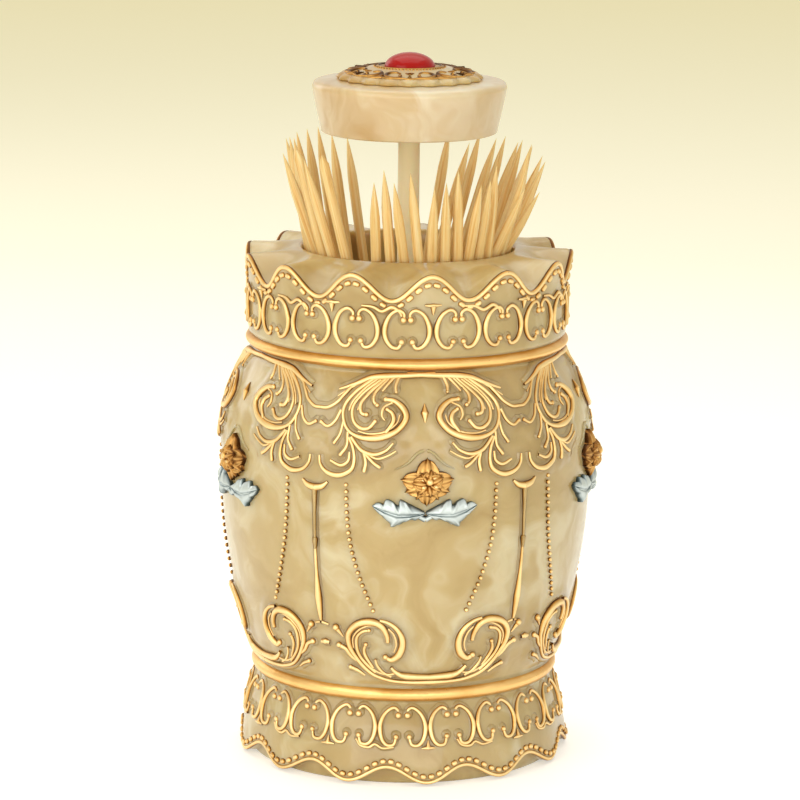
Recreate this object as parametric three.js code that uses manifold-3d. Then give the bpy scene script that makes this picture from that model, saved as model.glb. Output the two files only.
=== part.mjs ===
// Press-to-open toothpick dispenser. A cast resin pot with a ruffled collar holds a moulded
// housing. In it a tray of toothpicks rides on a return spring, joined by a rod to the lid, and a
// swinging arm in a heart-shaped cam groove latches it down.
// Millimetres, +Z up, front towards -Y. The origin is on the table, under the pot's axis.
// An azimuth is counted in degrees from the front (-Y) towards the right (+X).

import * as THREE from 'three';
import { mergeVertices } from 'three/addons/utils/BufferGeometryUtils.js';
import Module from 'manifold-3d';

const wasm = await Module();
wasm.setup();

// Clearances
const SEAT_GAP = 0.3;
const RUNNING_GAP = 0.3;
const CUT_OVERRUN = 1;

// Toothpicks
const PICK_LENGTH = 65;
const PICK_RADIUS = 1.05;
const PICK_POINT_LENGTH = 9;
const PICK_BUTT_LENGTH = 2;
const PICK_HEADROOM = 0.5;
const PICK_RIM_GAP = 0.2;

// Travel of the lid and tray: the full press goes past the latched height
const STROKE = 35;
const OVERTRAVEL = 1.5;

// Latch arm, its pin and the cam plate
const ARM_LENGTH = 12;
const ARM_SWING = 20;
const ARM_THICKNESS = 1.1;
const ARM_TIP_RADIUS = 1;
const ARM_HUB_RADIUS = 2.2;
const PEG_RADIUS = 0.6;
const PEG_HEIGHT_PRESSED = 3.9;
const PIVOT_DROP = 5.5;
const PIN_RADIUS = 0.9;
const PIN_HEAD_RADIUS = 1.6;
const PIN_HEAD_THICKNESS = 0.4;
const PIN_BOSS_LENGTH = 4.2;
const PIN_BOSS_RADIUS = 2.4;
const CAM_PLATE_THICKNESS = 2.2;
const CAM_GROOVE_DEPTH = 1.2;
const CAM_LANE_GAP = 0.3;
const CAM_MARGIN = 1.3;
const CAM_RAIL_WIDTH = 3.5;
const CAM_NOTCH_DEPTH = 1.2;
const CAM_SCREW_RADIUS = 0.7;
const CAM_SCREW_HEAD_RADIUS = 1.2;
const CAM_SCREW_HEAD_THICKNESS = 0.6;
const CAM_SCREW_LENGTH = 2.6;
const CAM_SCREW_INSET = 3.4;

// Tray and its rod
const TRAY_RADIUS = 16.8;
const TRAY_FLOOR_THICKNESS = 2;
const TRAY_SKIRT_HEIGHT = 12;
const TRAY_SKIRT_WALL = 1.4;
const TRAY_HUB_RADIUS = 4.4;
const TRAY_HUB_HEIGHT = 4.5;
const LUG_WIDTH = 4;
const LUG_HEIGHT = 6;
const LUG_DROP = 4.5;
const ROD_RADIUS = 2.2;
const ROD_COLLAR_RADIUS = 2.9;
const ROD_COLLAR_THICKNESS = 1;
const ROD_SOCKET_DEPTH = 7.8;
const ROD_SCREW_RADIUS = 0.85;
const ROD_SCREW_LENGTH = 8;
const ROD_SCREW_HEAD_RADIUS = 2.2;
const ROD_SCREW_HEAD_THICKNESS = 1.3;
const WASHER_RADIUS = 4;
const WASHER_THICKNESS = 0.5;

// Housing, base and their screws
const PAD_THICKNESS = 1.5;
const FLANGE_THICKNESS = 3.5;
const HOUSING_WALL = 1.4;
const HOUSING_TOP_DROP = 1;
const ACCESS_HOLE_RADIUS = 4.5;
const LEDGE_WIDTH = 5.5;
const LEDGE_THICKNESS = 6.4;
const BASE_SCREW_COUNT = 3;
const BASE_SCREW_AZIMUTH = 60;
const BASE_SCREW_RADIUS = 0.9;
const BASE_SCREW_LENGTH = 7.4;
const BASE_SCREW_HEAD_RADIUS = 1.8;
const BASE_SCREW_HEAD_THICKNESS = 1.1;
const BASE_SCREW_RECESS = 1.7;

// Return spring
const SPRING_RADIUS = 10.6;
const SPRING_WIRE_RADIUS = 0.55;
const SPRING_TURNS = 9;
const SPRING_END_GAP = 0.5;
const SPRING_STEPS_PER_TURN = 10;
const SPRING_SIDES = 6;

// Pot casting
const LOBES = 13;
const LOBE_AZIMUTH = 8.5;
const PLINTH_WALL = 3.1;
const HEM_FLARE = 1.5;
const HEM_SWELL = 0.5;
const HEM_LIFT = 0.5;
const HEM_ARCH = 3;
const HEM_HEIGHT = 16.4;
const HEM_LOBE = 0.4;
const WAIST_WALL = 7.4;
const LOWER_RING_WIDTH = 3.2;
const LOWER_RING_RISE = 1.2;
const BELLY_SWELL = 7.4;
const BELLY_WALL = 4.6;
const NECK_WALL = 9.5;
const UPPER_RING_WIDTH = 3.2;
const UPPER_RING_RISE = 2;
const COLLAR_HEIGHT = 20.2;
const COLLAR_STEP = 1.4;
const RIM_FLARE = 0.5;
const RIM_DROP = 3.8;
const RIM_WAVE = 5;
const RIM_LOBE = 0.5;
const RIM_LIP = 0.9;
const MOUTH_PLAY = 1.7;
const THROAT_DRAFT = 1;
const THROAT_HEIGHT = 13.3;
const CREST_FLARE = 0.6;
const CREST_HEIGHT = 1.2;
const CREST_WIDTH = 0.9;

// Medallions round the belly: a flower over a pair of leaves
const MEDALLIONS = 5;
const MEDALLION_AZIMUTH = 6;
const MEDALLION_ROOT = 1.6;
const FLOWER_RADIUS = 5.2;
const FLOWER_RISE = 3;
const FLOWER_PETALS = 10;
const FLOWER_SCALLOP = 0.35;
const LEAF_LENGTH = 10.4;
const LEAF_WIDTH = 6.2;
const LEAF_RISE = 1.6;
const LEAF_LOBES = 6;
const LEAF_SCALLOP = 0.4;
const LEAF_DROP = 5.2;
const LEAF_TILT = 14;

// Lid, rosette and gem
const LID_RADIUS = 19.6;
const LID_TAPER = 1.7;
const LID_SHOULDER_HEIGHT = 10.3;
const LID_CROWN = 1.3;
const LID_EDGE = 0.7;
const ROSETTE_RADIUS = 14.5;
const ROSETTE_HEIGHT = 1.9;
const ROSETTE_FLUTES = 16;
const ROSETTE_FLUTE_DEPTH = 0.35;
const BEZEL_HEIGHT = 2.6;
const BEZEL_WIDTH = 1.1;
const GEM_RADIUS = 5.1;
const GEM_HEIGHT = 3.3;
const GEM_RECESS_FLOOR = 0.6;

// Facets
const POT_SEGMENTS = LOBES * 6;
const BORE_SEGMENTS = LOBES * 4;
const LID_SEGMENTS = 48;
const TRAY_SEGMENTS = 40;
const SMALL_SEGMENTS = 12;
const PICK_SIDES = 8;
const ARC_STEPS = 6;
const WELD_DISTANCE = 0.0001;

// Heights, from the table up
const flangeBottom = PAD_THICKNESS + SEAT_GAP;
const flangeTop = flangeBottom + FLANGE_THICKNESS;
const armReach = ARM_LENGTH * Math.cos(THREE.MathUtils.degToRad(ARM_SWING / 2));
const pegHeightPressed = flangeTop + PEG_HEIGHT_PRESSED;
const trayFloor = pegHeightPressed + armReach + PIVOT_DROP + STROKE;
const trayUnder = trayFloor - TRAY_FLOOR_THICKNESS;
const pivotHeight = trayFloor - PIVOT_DROP;
const pegHeight = pivotHeight - armReach;
const lidBottom = trayFloor + PICK_LENGTH + PICK_HEADROOM;
const lidTop = lidBottom + LID_SHOULDER_HEIGHT + LID_CROWN;
const latchedTravel = STROKE - OVERTRAVEL;
const rimHeight = lidBottom - latchedTravel + LID_SHOULDER_HEIGHT;
const ledgeBottom = flangeTop + SEAT_GAP;
const ledgeTop = ledgeBottom + LEDGE_THICKNESS;
const bellyBottom = HEM_HEIGHT + LOWER_RING_WIDTH;
const bellyTop = rimHeight - COLLAR_HEIGHT;

// Radii, from the axis out
const housingBore = TRAY_RADIUS + RUNNING_GAP;
const housingRadius = housingBore + HOUSING_WALL;
const armFace = housingBore;
const armBack = armFace + ARM_THICKNESS;
const pinHeadFace = armBack + SEAT_GAP;
const railFace = pinHeadFace + PIN_HEAD_THICKNESS;
const camPlateFace = railFace + SEAT_GAP;
const camPlateBack = camPlateFace + CAM_PLATE_THICKNESS;
const pegOffset = ARM_LENGTH * Math.sin(THREE.MathUtils.degToRad(ARM_SWING / 2));
const laneHalfWidth = PEG_RADIUS + CAM_LANE_GAP;
const slotHalfWidth = pegOffset + ARM_TIP_RADIUS + RUNNING_GAP;
const camPlateHalfWidth = slotHalfWidth + CAM_RAIL_WIDTH;
const ledgeRadius = Math.hypot(camPlateBack, camPlateHalfWidth) + RUNNING_GAP;
const baseOpening = ledgeRadius + LEDGE_WIDTH;
const flangeRadius = baseOpening - SEAT_GAP;
const screwCircle = ledgeRadius + LEDGE_WIDTH / 2;
const plinthRadius = baseOpening + PLINTH_WALL;
const hemRadius = plinthRadius + HEM_FLARE;
const waistRadius = ledgeRadius + WAIST_WALL;
const bellyRadius = waistRadius + BELLY_SWELL;
const mouthRadius = LID_RADIUS + MOUTH_PLAY;
const throatRadius = mouthRadius - THROAT_DRAFT;
const crestRadius = mouthRadius + CREST_FLARE;
const neckRadius = mouthRadius + NECK_WALL;
const collarRadius = neckRadius + COLLAR_STEP;
const rimRadius = collarRadius + RIM_FLARE;
const pickRimRadius = mouthRadius - PICK_RADIUS - PICK_RIM_GAP;

// The belly swells from the waist to its widest place, at this share of its height, and draws in
// to the neck. A larger power keeps it full for longer.
const BELLY_WIDEST_SHARE = 0.61;
const BELLY_LOWER_POWER = 2.1;
const BELLY_UPPER_POWER = 2.7;
// Height of the medallions on the belly
const MEDALLION_HEIGHT_SHARE = 0.675;

// Skirt of the pot, from the hem's swell up to the waist: share of the flare, share of the hem's
// height, share of the lobes
const SKIRT_SHARES = [
  [1, 0.2, 1], [0.97, 0.33, 0.7], [0.75, 0.5, 0.35], [0.44, 0.74, 0], [0.12, 0.95, 0],
];
// Top of the collar, from the lip in to the crest: share of the way in, share of the rise, share
// of the wave
const RIM_TOP_SHARES = [[0.36, 0.36, 0.6], [0.7, 0.78, 0.25]];
// A beaded ring's three points across its width, and the power that keeps its back full
const BEAD_SHARES = [0.15, 0.5, 0.85];
const BEAD_POWER = 0.7;
// A boss of the medallions, from its edge in to its crown: share of the radius, share of the rise,
// share of the scallop
const BOSS_SHARES = [[1, 0.3, 1], [0.6, 0.92, 0.6]];
// Shoulders of the heart in the cam groove
const HEART_SHOULDER_SHARE = 0.8;
// Side of the lid, from the edge up: share of the taper still to go, share of the height
const LID_SIDE_SHARES = [[0.45, 0.5], [0.06, 0.86]];
const ROSETTE_RIM_SHARE = 0.7;
// Gem: how much of its height is the girdle, and how far up the dome's arc its points lie
const GEM_GIRDLE_SHARE = 0.25;
const GEM_DOME_SHARES = [0, 0.2, 0.4, 0.6, 0.8];
const GEM_FOOT_SHARE = 0.96;
// Ends of a toothpick: share of the radius, share of the end's length
const PICK_BUTT_SHARES = [[0, 0], [0.5, 0.06], [0.9, 0.4], [1, 1]];
const PICK_POINT_SHARES = [[1, 0], [0.62, 0.55], [0.14, 0.97], [0, 1]];
// Foot rings for the toothpicks, as shares of the tray's radius
const FOOT_RING_SHARES = [0.286, 0.44, 0.595, 0.75, 0.857];

// Toothpicks lean on the mouth in three sheaves. Each is spread evenly along the mouth between
// two azimuths, and each pick in it has its foot ring (0 is the innermost) and foot azimuth.
const SHEAVES = [
  { from: -150, to: -38,
    feet: [[0, -130], [1, -120], [4, -140], [4, -130], [3, -115], [2, -105], [3, -75], [4, -65],
      [1, -40], [2, -40], [1, -20], [2, -15]] },
  { from: -18, to: 6, feet: [[0, -100], [0, -5], [0, 80], [1, 55]] },
  { from: 14, to: 166,
    feet: [[0, 120], [1, 100], [2, 80], [1, 125], [2, 120], [3, 100], [1, 180], [2, 135],
      [2, -160], [3, 115], [0, 150], [1, 150], [3, 140], [2, 155], [3, 155], [2, 170], [3, 170],
      [2, -175], [4, 180], [1, -140], [3, -170]] },
];
// Picks that stand with their blunt end up, by number
const BLUNT_UP = [10, 12];

// Materials
const finish = (color, roughness, metalness = 0) =>
  new THREE.MeshStandardMaterial({ color, roughness, metalness });
const resin = finish('#d8c690', 0.3);
const clearResin = finish('#d9bf80', 0.2);
const creamPlastic = finish('#efe6c9', 0.45);
const housingPlastic = finish('#e4ddc8', 0.5);
const acetal = finish('#f4f1e6', 0.4);
const steel = finish('#b9bcc0', 0.35, 0.9);
const felt = finish('#6f5a3c', 0.95);
const redGem = finish('#c81e12', 0.08);
const pickWood = finish('#e8c987', 0.7);

// Geometry helpers
const radians = THREE.MathUtils.degToRad;

function onCircle(radius, azimuth, height) {
  return new THREE.Vector3(
    radius * Math.sin(radians(azimuth)), -radius * Math.cos(radians(azimuth)), height);
}

function signedVolume(positions, triangles) {
  const [a, b, c] = [new THREE.Vector3(), new THREE.Vector3(), new THREE.Vector3()];
  let volume = 0;
  for (let i = 0; i < triangles.length; i += 3) {
    a.fromArray(positions, 3 * triangles[i]);
    b.fromArray(positions, 3 * triangles[i + 1]);
    c.fromArray(positions, 3 * triangles[i + 2]);
    volume += a.dot(b.cross(c)) / 6;
  }
  return volume;
}

// A closed geometry as a solid: shared vertices merged, slivers at the poles dropped and faces
// turned outwards
function solid(geometry) {
  const bare = geometry.clone();
  bare.deleteAttribute('normal');
  bare.deleteAttribute('uv');
  const merged = mergeVertices(bare, WELD_DISTANCE);
  const index = merged.index.array;
  let triangles = [];
  for (let i = 0; i < index.length; i += 3) {
    const [a, b, c] = index.slice(i, i + 3);
    if (a !== b && b !== c && c !== a) triangles.push(a, b, c);
  }
  const positions = merged.attributes.position.array;
  if (signedVolume(positions, triangles) < 0) triangles = triangles.reverse();
  return new wasm.Manifold(new wasm.Mesh({
    numProp: 3,
    vertProperties: new Float32Array(positions),
    triVerts: new Uint32Array(triangles),
  }));
}

function toGeometry(manifold) {
  const mesh = manifold.getMesh();
  const geometry = new THREE.BufferGeometry();
  geometry.setAttribute('position', new THREE.BufferAttribute(mesh.vertProperties, 3));
  geometry.setIndex(new THREE.BufferAttribute(mesh.triVerts, 1));
  geometry.computeVertexNormals();
  return geometry;
}

// A profile of [radius, height] points turned about the Z axis. A third and fourth value in a
// point are how far the lobes move it out and up.
function revolved(profile, segments, lobes = 0, azimuth = 0) {
  const points = profile.map(([radius, height]) => new THREE.Vector2(radius, height));
  const geometry = new THREE.LatheGeometry(points, segments, radians(azimuth));
  const position = geometry.attributes.position;
  for (let i = 0; i < position.count; i += 1) {
    const [radius, height, out = 0, up = 0] = profile[i % profile.length];
    const turn = radians(azimuth) + 2 * Math.PI * Math.floor(i / profile.length) / segments;
    const wave = Math.cos(lobes * (turn - radians(azimuth)));
    const r = radius + out * wave;
    position.setXYZ(i, r * Math.sin(turn), -r * Math.cos(turn), height + up * wave);
  }
  return geometry;
}

const closed = (profile) => [...profile, profile[0]];

function cylinder(radius, bottom, top, segments = SMALL_SEGMENTS) {
  return revolved([[0, bottom], [radius, bottom], [radius, top], [0, top]], segments);
}

function block(xs, ys, zs) {
  const [size, centre] = [new THREE.Vector3(), new THREE.Vector3()];
  const box = new THREE.Box3(
    new THREE.Vector3(xs[0], ys[0], zs[0]), new THREE.Vector3(xs[1], ys[1], zs[1]));
  box.getSize(size);
  box.getCenter(centre);
  return new THREE.BoxGeometry(size.x, size.y, size.z).translate(centre.x, centre.y, centre.z);
}

// A shape drawn in X and Z, extruded from one depth to another along Y
function slab(shape, front, back) {
  const options = { depth: back - front, bevelEnabled: false, curveSegments: ARC_STEPS };
  return new THREE.ExtrudeGeometry(shape, options)
    .rotateX(Math.PI / 2)
    .translate(0, back, 0);
}

// A piece turned about Z is laid with its axis along Y, pointing to the back
const alongY = (geometry, height) => geometry.rotateX(-Math.PI / 2).translate(0, 0, height);

function piece(name, geometry, material) {
  const mesh = new THREE.Mesh(geometry, material);
  mesh.name = name;
  return mesh;
}

// Pot
function bellyProfileRadius(height) {
  const widest = bellyBottom + BELLY_WIDEST_SHARE * (bellyTop - bellyBottom);
  if (height < widest) {
    const away = (widest - height) / (widest - bellyBottom);
    return bellyRadius - (bellyRadius - waistRadius) * away ** BELLY_LOWER_POWER;
  }
  const away = (height - widest) / (bellyTop - widest);
  return bellyRadius - (bellyRadius - neckRadius) * away ** BELLY_UPPER_POWER;
}

function beading(radius, rise, bottom, width) {
  return BEAD_SHARES.map((share) => [
    radius + rise * Math.sin(Math.PI * share) ** BEAD_POWER, bottom + width * share]);
}

function bellyStations(count, inset = 0) {
  return Array.from({ length: count }, (_, i) => {
    const height = bellyBottom + (bellyTop - bellyBottom) * i / (count - 1);
    return [bellyProfileRadius(height) - inset, height];
  });
}

function potOutside() {
  const hemEdge = HEM_LIFT + HEM_ARCH / 2;
  const hemWave = -HEM_ARCH / 2;
  const rimEdge = rimHeight - RIM_DROP;
  const rimWave = RIM_WAVE / 2;
  const skirt = SKIRT_SHARES.map(([flare, up, lobe]) => [
    waistRadius + (hemRadius + HEM_SWELL - waistRadius) * flare,
    HEM_HEIGHT * up, HEM_LOBE * lobe, hemWave * lobe]);
  const lipRadius = rimRadius - RIM_LIP;
  const lipHeight = rimEdge + RIM_LIP;
  const crest = crestRadius + CREST_WIDTH;
  const top = RIM_TOP_SHARES.map(([inward, rise, wave]) => [
    lipRadius + (crest - lipRadius) * inward,
    lipHeight + (rimHeight - lipHeight) * rise, RIM_LOBE * wave, rimWave * wave]);
  return [
    [0, 0], [plinthRadius, 0],
    [plinthRadius, hemEdge, 0, hemWave],
    [hemRadius, hemEdge, HEM_LOBE, hemWave],
    ...skirt,
    [waistRadius, HEM_HEIGHT],
    ...beading(waistRadius, LOWER_RING_RISE, HEM_HEIGHT, LOWER_RING_WIDTH),
    ...bellyStations(9),
    ...beading(neckRadius, UPPER_RING_RISE, bellyTop, UPPER_RING_WIDTH),
    [collarRadius, bellyTop + UPPER_RING_WIDTH],
    [collarRadius, (bellyTop + UPPER_RING_WIDTH + rimEdge) / 2],
    [rimRadius, rimEdge, RIM_LOBE, rimWave],
    [lipRadius, lipHeight, RIM_LOBE, rimWave],
    ...top,
    [crest, rimHeight], [0, rimHeight],
  ];
}

function potInside() {
  const crestBottom = rimHeight - CREST_HEIGHT;
  return [
    [0, -CUT_OVERRUN], [baseOpening, -CUT_OVERRUN], [baseOpening, ledgeBottom],
    [ledgeRadius, ledgeBottom], [ledgeRadius, ledgeTop],
    ...bellyStations(7, BELLY_WALL),
    [throatRadius, rimHeight - THROAT_HEIGHT],
    [mouthRadius, crestBottom],
    [mouthRadius + CREST_FLARE / 4, rimHeight - CREST_HEIGHT / 2],
    [crestRadius, rimHeight], [crestRadius, rimHeight + CUT_OVERRUN],
    [0, rimHeight + CUT_OVERRUN],
  ];
}

function baseScrewPlaces() {
  return Array.from({ length: BASE_SCREW_COUNT }, (_, i) =>
    onCircle(screwCircle, BASE_SCREW_AZIMUTH + 360 * i / BASE_SCREW_COUNT, 0));
}

function drilled(body, radius, bottom, top) {
  return baseScrewPlaces().reduce((rest, place) => rest.subtract(
    solid(cylinder(radius, bottom, top).translate(place.x, place.y, 0))), body);
}

// A scalloped dome on the belly, stretched along the belly, tilted in its own plane and rooted in
// the wall
function boss([halfLength, halfWidth, rise], [lobes, scallop], tilt, azimuth, height) {
  const dome = BOSS_SHARES.map(([radius, up, wave]) => [
    halfWidth * radius, rise * up, scallop * wave]);
  const place = onCircle(bellyProfileRadius(height), azimuth, height);
  return solid(revolved([
    [0, -MEDALLION_ROOT], [halfWidth, -MEDALLION_ROOT, scallop], ...dome, [0, rise],
  ], lobes * 2, lobes)
    .scale(halfLength / halfWidth, 1, 1)
    .rotateZ(radians(tilt))
    .rotateX(-Math.PI / 2)
    .rotateZ(radians(azimuth + 180))
    .translate(place.x, place.y, place.z));
}

function medallions() {
  const height = bellyBottom + MEDALLION_HEIGHT_SHARE * (bellyTop - bellyBottom);
  const leafSpread = THREE.MathUtils.radToDeg(LEAF_LENGTH / 2 / bellyRadius);
  return Array.from({ length: MEDALLIONS }, (_, i) => {
    const azimuth = MEDALLION_AZIMUTH + 360 * i / MEDALLIONS;
    const flower = boss([FLOWER_RADIUS, FLOWER_RADIUS, FLOWER_RISE],
      [FLOWER_PETALS, FLOWER_SCALLOP], 0, azimuth, height);
    return [-1, 1].reduce((whole, side) => whole.add(
      boss([LEAF_LENGTH / 2, LEAF_WIDTH / 2, LEAF_RISE], [LEAF_LOBES, LEAF_SCALLOP],
        side * LEAF_TILT, azimuth + side * leafSpread, height - LEAF_DROP)), flower);
  });
}

function potBody() {
  const shell = solid(revolved(potOutside(), POT_SEGMENTS, LOBES, LOBE_AZIMUTH));
  const outside = medallions().reduce((whole, medallion) => whole.add(medallion), shell);
  const inside = solid(revolved(potInside(), BORE_SEGMENTS, 0, LOBE_AZIMUTH));
  const body = drilled(outside.subtract(inside), BASE_SCREW_RADIUS + RUNNING_GAP,
    ledgeBottom - CUT_OVERRUN, ledgeTop - CUT_OVERRUN);
  return piece('pot_body', toGeometry(body), resin);
}

// Base
function basePad() {
  return piece('base_pad', cylinder(flangeRadius, 0, PAD_THICKNESS, TRAY_SEGMENTS), felt);
}

function baseScrews() {
  const headBottom = flangeBottom + BASE_SCREW_RECESS - SEAT_GAP - BASE_SCREW_HEAD_THICKNESS;
  const headTop = headBottom + BASE_SCREW_HEAD_THICKNESS;
  const tip = headTop + BASE_SCREW_LENGTH;
  return baseScrewPlaces().map((place, i) => {
    const screw = piece(`base_screw_${i + 1}`, revolved([
      [0, headBottom], [BASE_SCREW_HEAD_RADIUS, headBottom], [BASE_SCREW_HEAD_RADIUS, headTop],
      [BASE_SCREW_RADIUS, headTop], [BASE_SCREW_RADIUS, tip - BASE_SCREW_RADIUS], [0, tip],
    ], SMALL_SEGMENTS), steel);
    screw.position.set(place.x, place.y, 0);
    return screw;
  });
}

// Housing: a tube with a base flange, a slot for the tray's lug in front, and at the back a slot
// for the latch arm between two rails for the cam plate
const housingTop = trayFloor - HOUSING_TOP_DROP;
const camTop = pegHeight + laneHalfWidth + CAM_MARGIN;
const camBottom = pegHeight - STROKE - laneHalfWidth - CAM_MARGIN;
const lugTop = trayFloor - LUG_DROP;
const camScrewPlaces = [
  [slotHalfWidth + CAM_RAIL_WIDTH / 2, camTop - CAM_SCREW_INSET],
  [-slotHalfWidth - CAM_RAIL_WIDTH / 2, camBottom + CAM_SCREW_INSET],
];

function camScrewHoles(radius, front, back) {
  return camScrewPlaces.map(([x, height]) =>
    solid(alongY(cylinder(radius, front, back, PICK_SIDES), height).translate(x, 0, 0)));
}

function housing() {
  const tube = solid(revolved(closed([
    [ACCESS_HOLE_RADIUS, flangeBottom], [flangeRadius, flangeBottom], [flangeRadius, flangeTop],
    [housingRadius, flangeTop], [housingRadius, housingTop], [housingBore, housingTop],
    [housingBore, flangeTop], [ACCESS_HOLE_RADIUS, flangeTop],
  ]), TRAY_SEGMENTS));
  const rails = solid(block([-camPlateHalfWidth, camPlateHalfWidth],
    [housingBore - HOUSING_WALL, railFace], [flangeTop - SEAT_GAP, camTop]));
  const bore = solid(cylinder(housingBore, flangeTop, housingTop + CUT_OVERRUN, TRAY_SEGMENTS));
  const armSlot = solid(block([-slotHalfWidth, slotHalfWidth],
    [housingBore - HOUSING_WALL - CUT_OVERRUN, railFace + CUT_OVERRUN],
    [camBottom - SEAT_GAP, housingTop + CUT_OVERRUN]));
  const lugSlot = solid(block([-LUG_WIDTH / 2 - RUNNING_GAP, LUG_WIDTH / 2 + RUNNING_GAP],
    [-housingRadius - CUT_OVERRUN, -housingBore + HOUSING_WALL],
    [lugTop - LUG_HEIGHT - STROKE - RUNNING_GAP, lugTop + SEAT_GAP]));
  let body = tube.add(rails).subtract(bore).subtract(armSlot).subtract(lugSlot);
  camScrewHoles(CAM_SCREW_RADIUS + RUNNING_GAP, housingBore - HOUSING_WALL, railFace + CUT_OVERRUN)
    .forEach((hole) => { body = body.subtract(hole); });
  body = drilled(body, BASE_SCREW_RADIUS + RUNNING_GAP, flangeBottom - CUT_OVERRUN,
    flangeTop + CUT_OVERRUN);
  body = drilled(body, BASE_SCREW_HEAD_RADIUS + RUNNING_GAP, flangeBottom - CUT_OVERRUN,
    flangeBottom + BASE_SCREW_RECESS);
  return piece('guide_housing', toGeometry(body), housingPlastic);
}

// Cam plate: the peg goes down one lane of the groove, rests in the notch under the heart and
// comes back up the other lane
function polygon(points) {
  return new THREE.Shape(points.map(([x, y]) => new THREE.Vector2(x, y)));
}

function camPlate() {
  const outer = pegOffset + laneHalfWidth;
  const inner = pegOffset - laneHalfWidth;
  const shoulder = inner * HEART_SHOULDER_SHARE;
  const grooveTop = camTop - CAM_MARGIN;
  const grooveBottom = camBottom + CAM_MARGIN;
  const heartTop = pegHeight - 2 * laneHalfWidth;
  const heartBottom = grooveBottom + 2 * laneHalfWidth;
  const groove = polygon([
    [-outer, grooveBottom], [outer, grooveBottom], [outer, grooveTop], [-outer, grooveTop],
  ]);
  groove.holes.push(polygon([
    [0, heartTop], [-inner, heartTop - inner], [-inner, heartBottom + inner],
    [-shoulder, heartBottom], [0, heartBottom + CAM_NOTCH_DEPTH], [shoulder, heartBottom],
    [inner, heartBottom + inner], [inner, heartTop - inner],
  ]));
  let body = solid(block([-camPlateHalfWidth, camPlateHalfWidth], [camPlateFace, camPlateBack],
    [camBottom, camTop]));
  body = body.subtract(solid(slab(groove, camPlateFace - CUT_OVERRUN,
    camPlateFace + CAM_GROOVE_DEPTH)));
  camScrewHoles(CAM_SCREW_RADIUS + RUNNING_GAP, camPlateFace - CUT_OVERRUN,
    camPlateBack + CUT_OVERRUN).forEach((hole) => { body = body.subtract(hole); });
  camScrewHoles(CAM_SCREW_HEAD_RADIUS + RUNNING_GAP,
    camPlateBack - CAM_SCREW_HEAD_THICKNESS - SEAT_GAP, camPlateBack + CUT_OVERRUN)
    .forEach((hole) => { body = body.subtract(hole); });
  return piece('cam_plate', toGeometry(body), acetal);
}

function camScrews() {
  return camScrewPlaces.map(([x, height], i) => {
    const headFront = camPlateBack - CAM_SCREW_HEAD_THICKNESS;
    const tip = headFront - CAM_SCREW_LENGTH;
    const screw = piece(`cam_screw_${i + 1}`, alongY(revolved([
      [0, tip], [CAM_SCREW_RADIUS, tip + CAM_SCREW_RADIUS / 2], [CAM_SCREW_RADIUS, headFront],
      [CAM_SCREW_HEAD_RADIUS, headFront], [CAM_SCREW_HEAD_RADIUS, camPlateBack],
      [0, camPlateBack],
    ], PICK_SIDES), 0), steel);
    screw.position.set(x, 0, height);
    return screw;
  });
}

// Return spring: one open helix whose first and last turns lie close, as end coils
const springWireGap = [];

function springHeight(turn) {
  const low = flangeTop + SEAT_GAP + SPRING_WIRE_RADIUS;
  const high = trayUnder - SEAT_GAP - SPRING_WIRE_RADIUS;
  const endPitch = 2 * SPRING_WIRE_RADIUS + SPRING_END_GAP;
  const activePitch = (high - low - 2 * endPitch) / (SPRING_TURNS - 2);
  if (turn < 1) return low + endPitch * turn;
  if (turn > SPRING_TURNS - 1) return high - endPitch * (SPRING_TURNS - turn);
  return low + endPitch + activePitch * (turn - 1);
}

function helixPoint(turn) {
  return onCircle(SPRING_RADIUS, 360 * turn, springHeight(turn));
}

function spring() {
  const steps = SPRING_TURNS * SPRING_STEPS_PER_TURN;
  const positions = [];
  const index = [];
  const up = new THREE.Vector3(0, 0, 1);
  for (let i = 0; i <= steps; i += 1) {
    const turn = i / SPRING_STEPS_PER_TURN;
    const centre = helixPoint(turn);
    const outward = onCircle(1, 360 * turn, 0);
    for (let k = 0; k < SPRING_SIDES; k += 1) {
      const angle = 2 * Math.PI * (k + 0.5) / SPRING_SIDES;
      const point = centre.clone()
        .addScaledVector(outward, SPRING_WIRE_RADIUS * Math.cos(angle))
        .addScaledVector(up, SPRING_WIRE_RADIUS * Math.sin(angle));
      positions.push(point.x, point.y, point.z);
      if (i < steps) {
        const [a, b] = [i * SPRING_SIDES + k, i * SPRING_SIDES + (k + 1) % SPRING_SIDES];
        index.push(a, a + SPRING_SIDES, b, b, a + SPRING_SIDES, b + SPRING_SIDES);
      }
    }
    if (i >= SPRING_STEPS_PER_TURN) {
      springWireGap.push(centre.distanceTo(helixPoint(turn - 1)) - 2 * SPRING_WIRE_RADIUS);
    }
  }
  const last = steps * SPRING_SIDES;
  for (let k = 1; k < SPRING_SIDES - 1; k += 1) {
    index.push(0, k, k + 1);
    index.push(last, last + k + 1, last + k);
  }
  const wire = new THREE.BufferGeometry();
  wire.setAttribute('position', new THREE.Float32BufferAttribute(positions, 3));
  wire.setIndex(index);
  return piece('return_spring', toGeometry(solid(wire)), steel);
}

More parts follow.
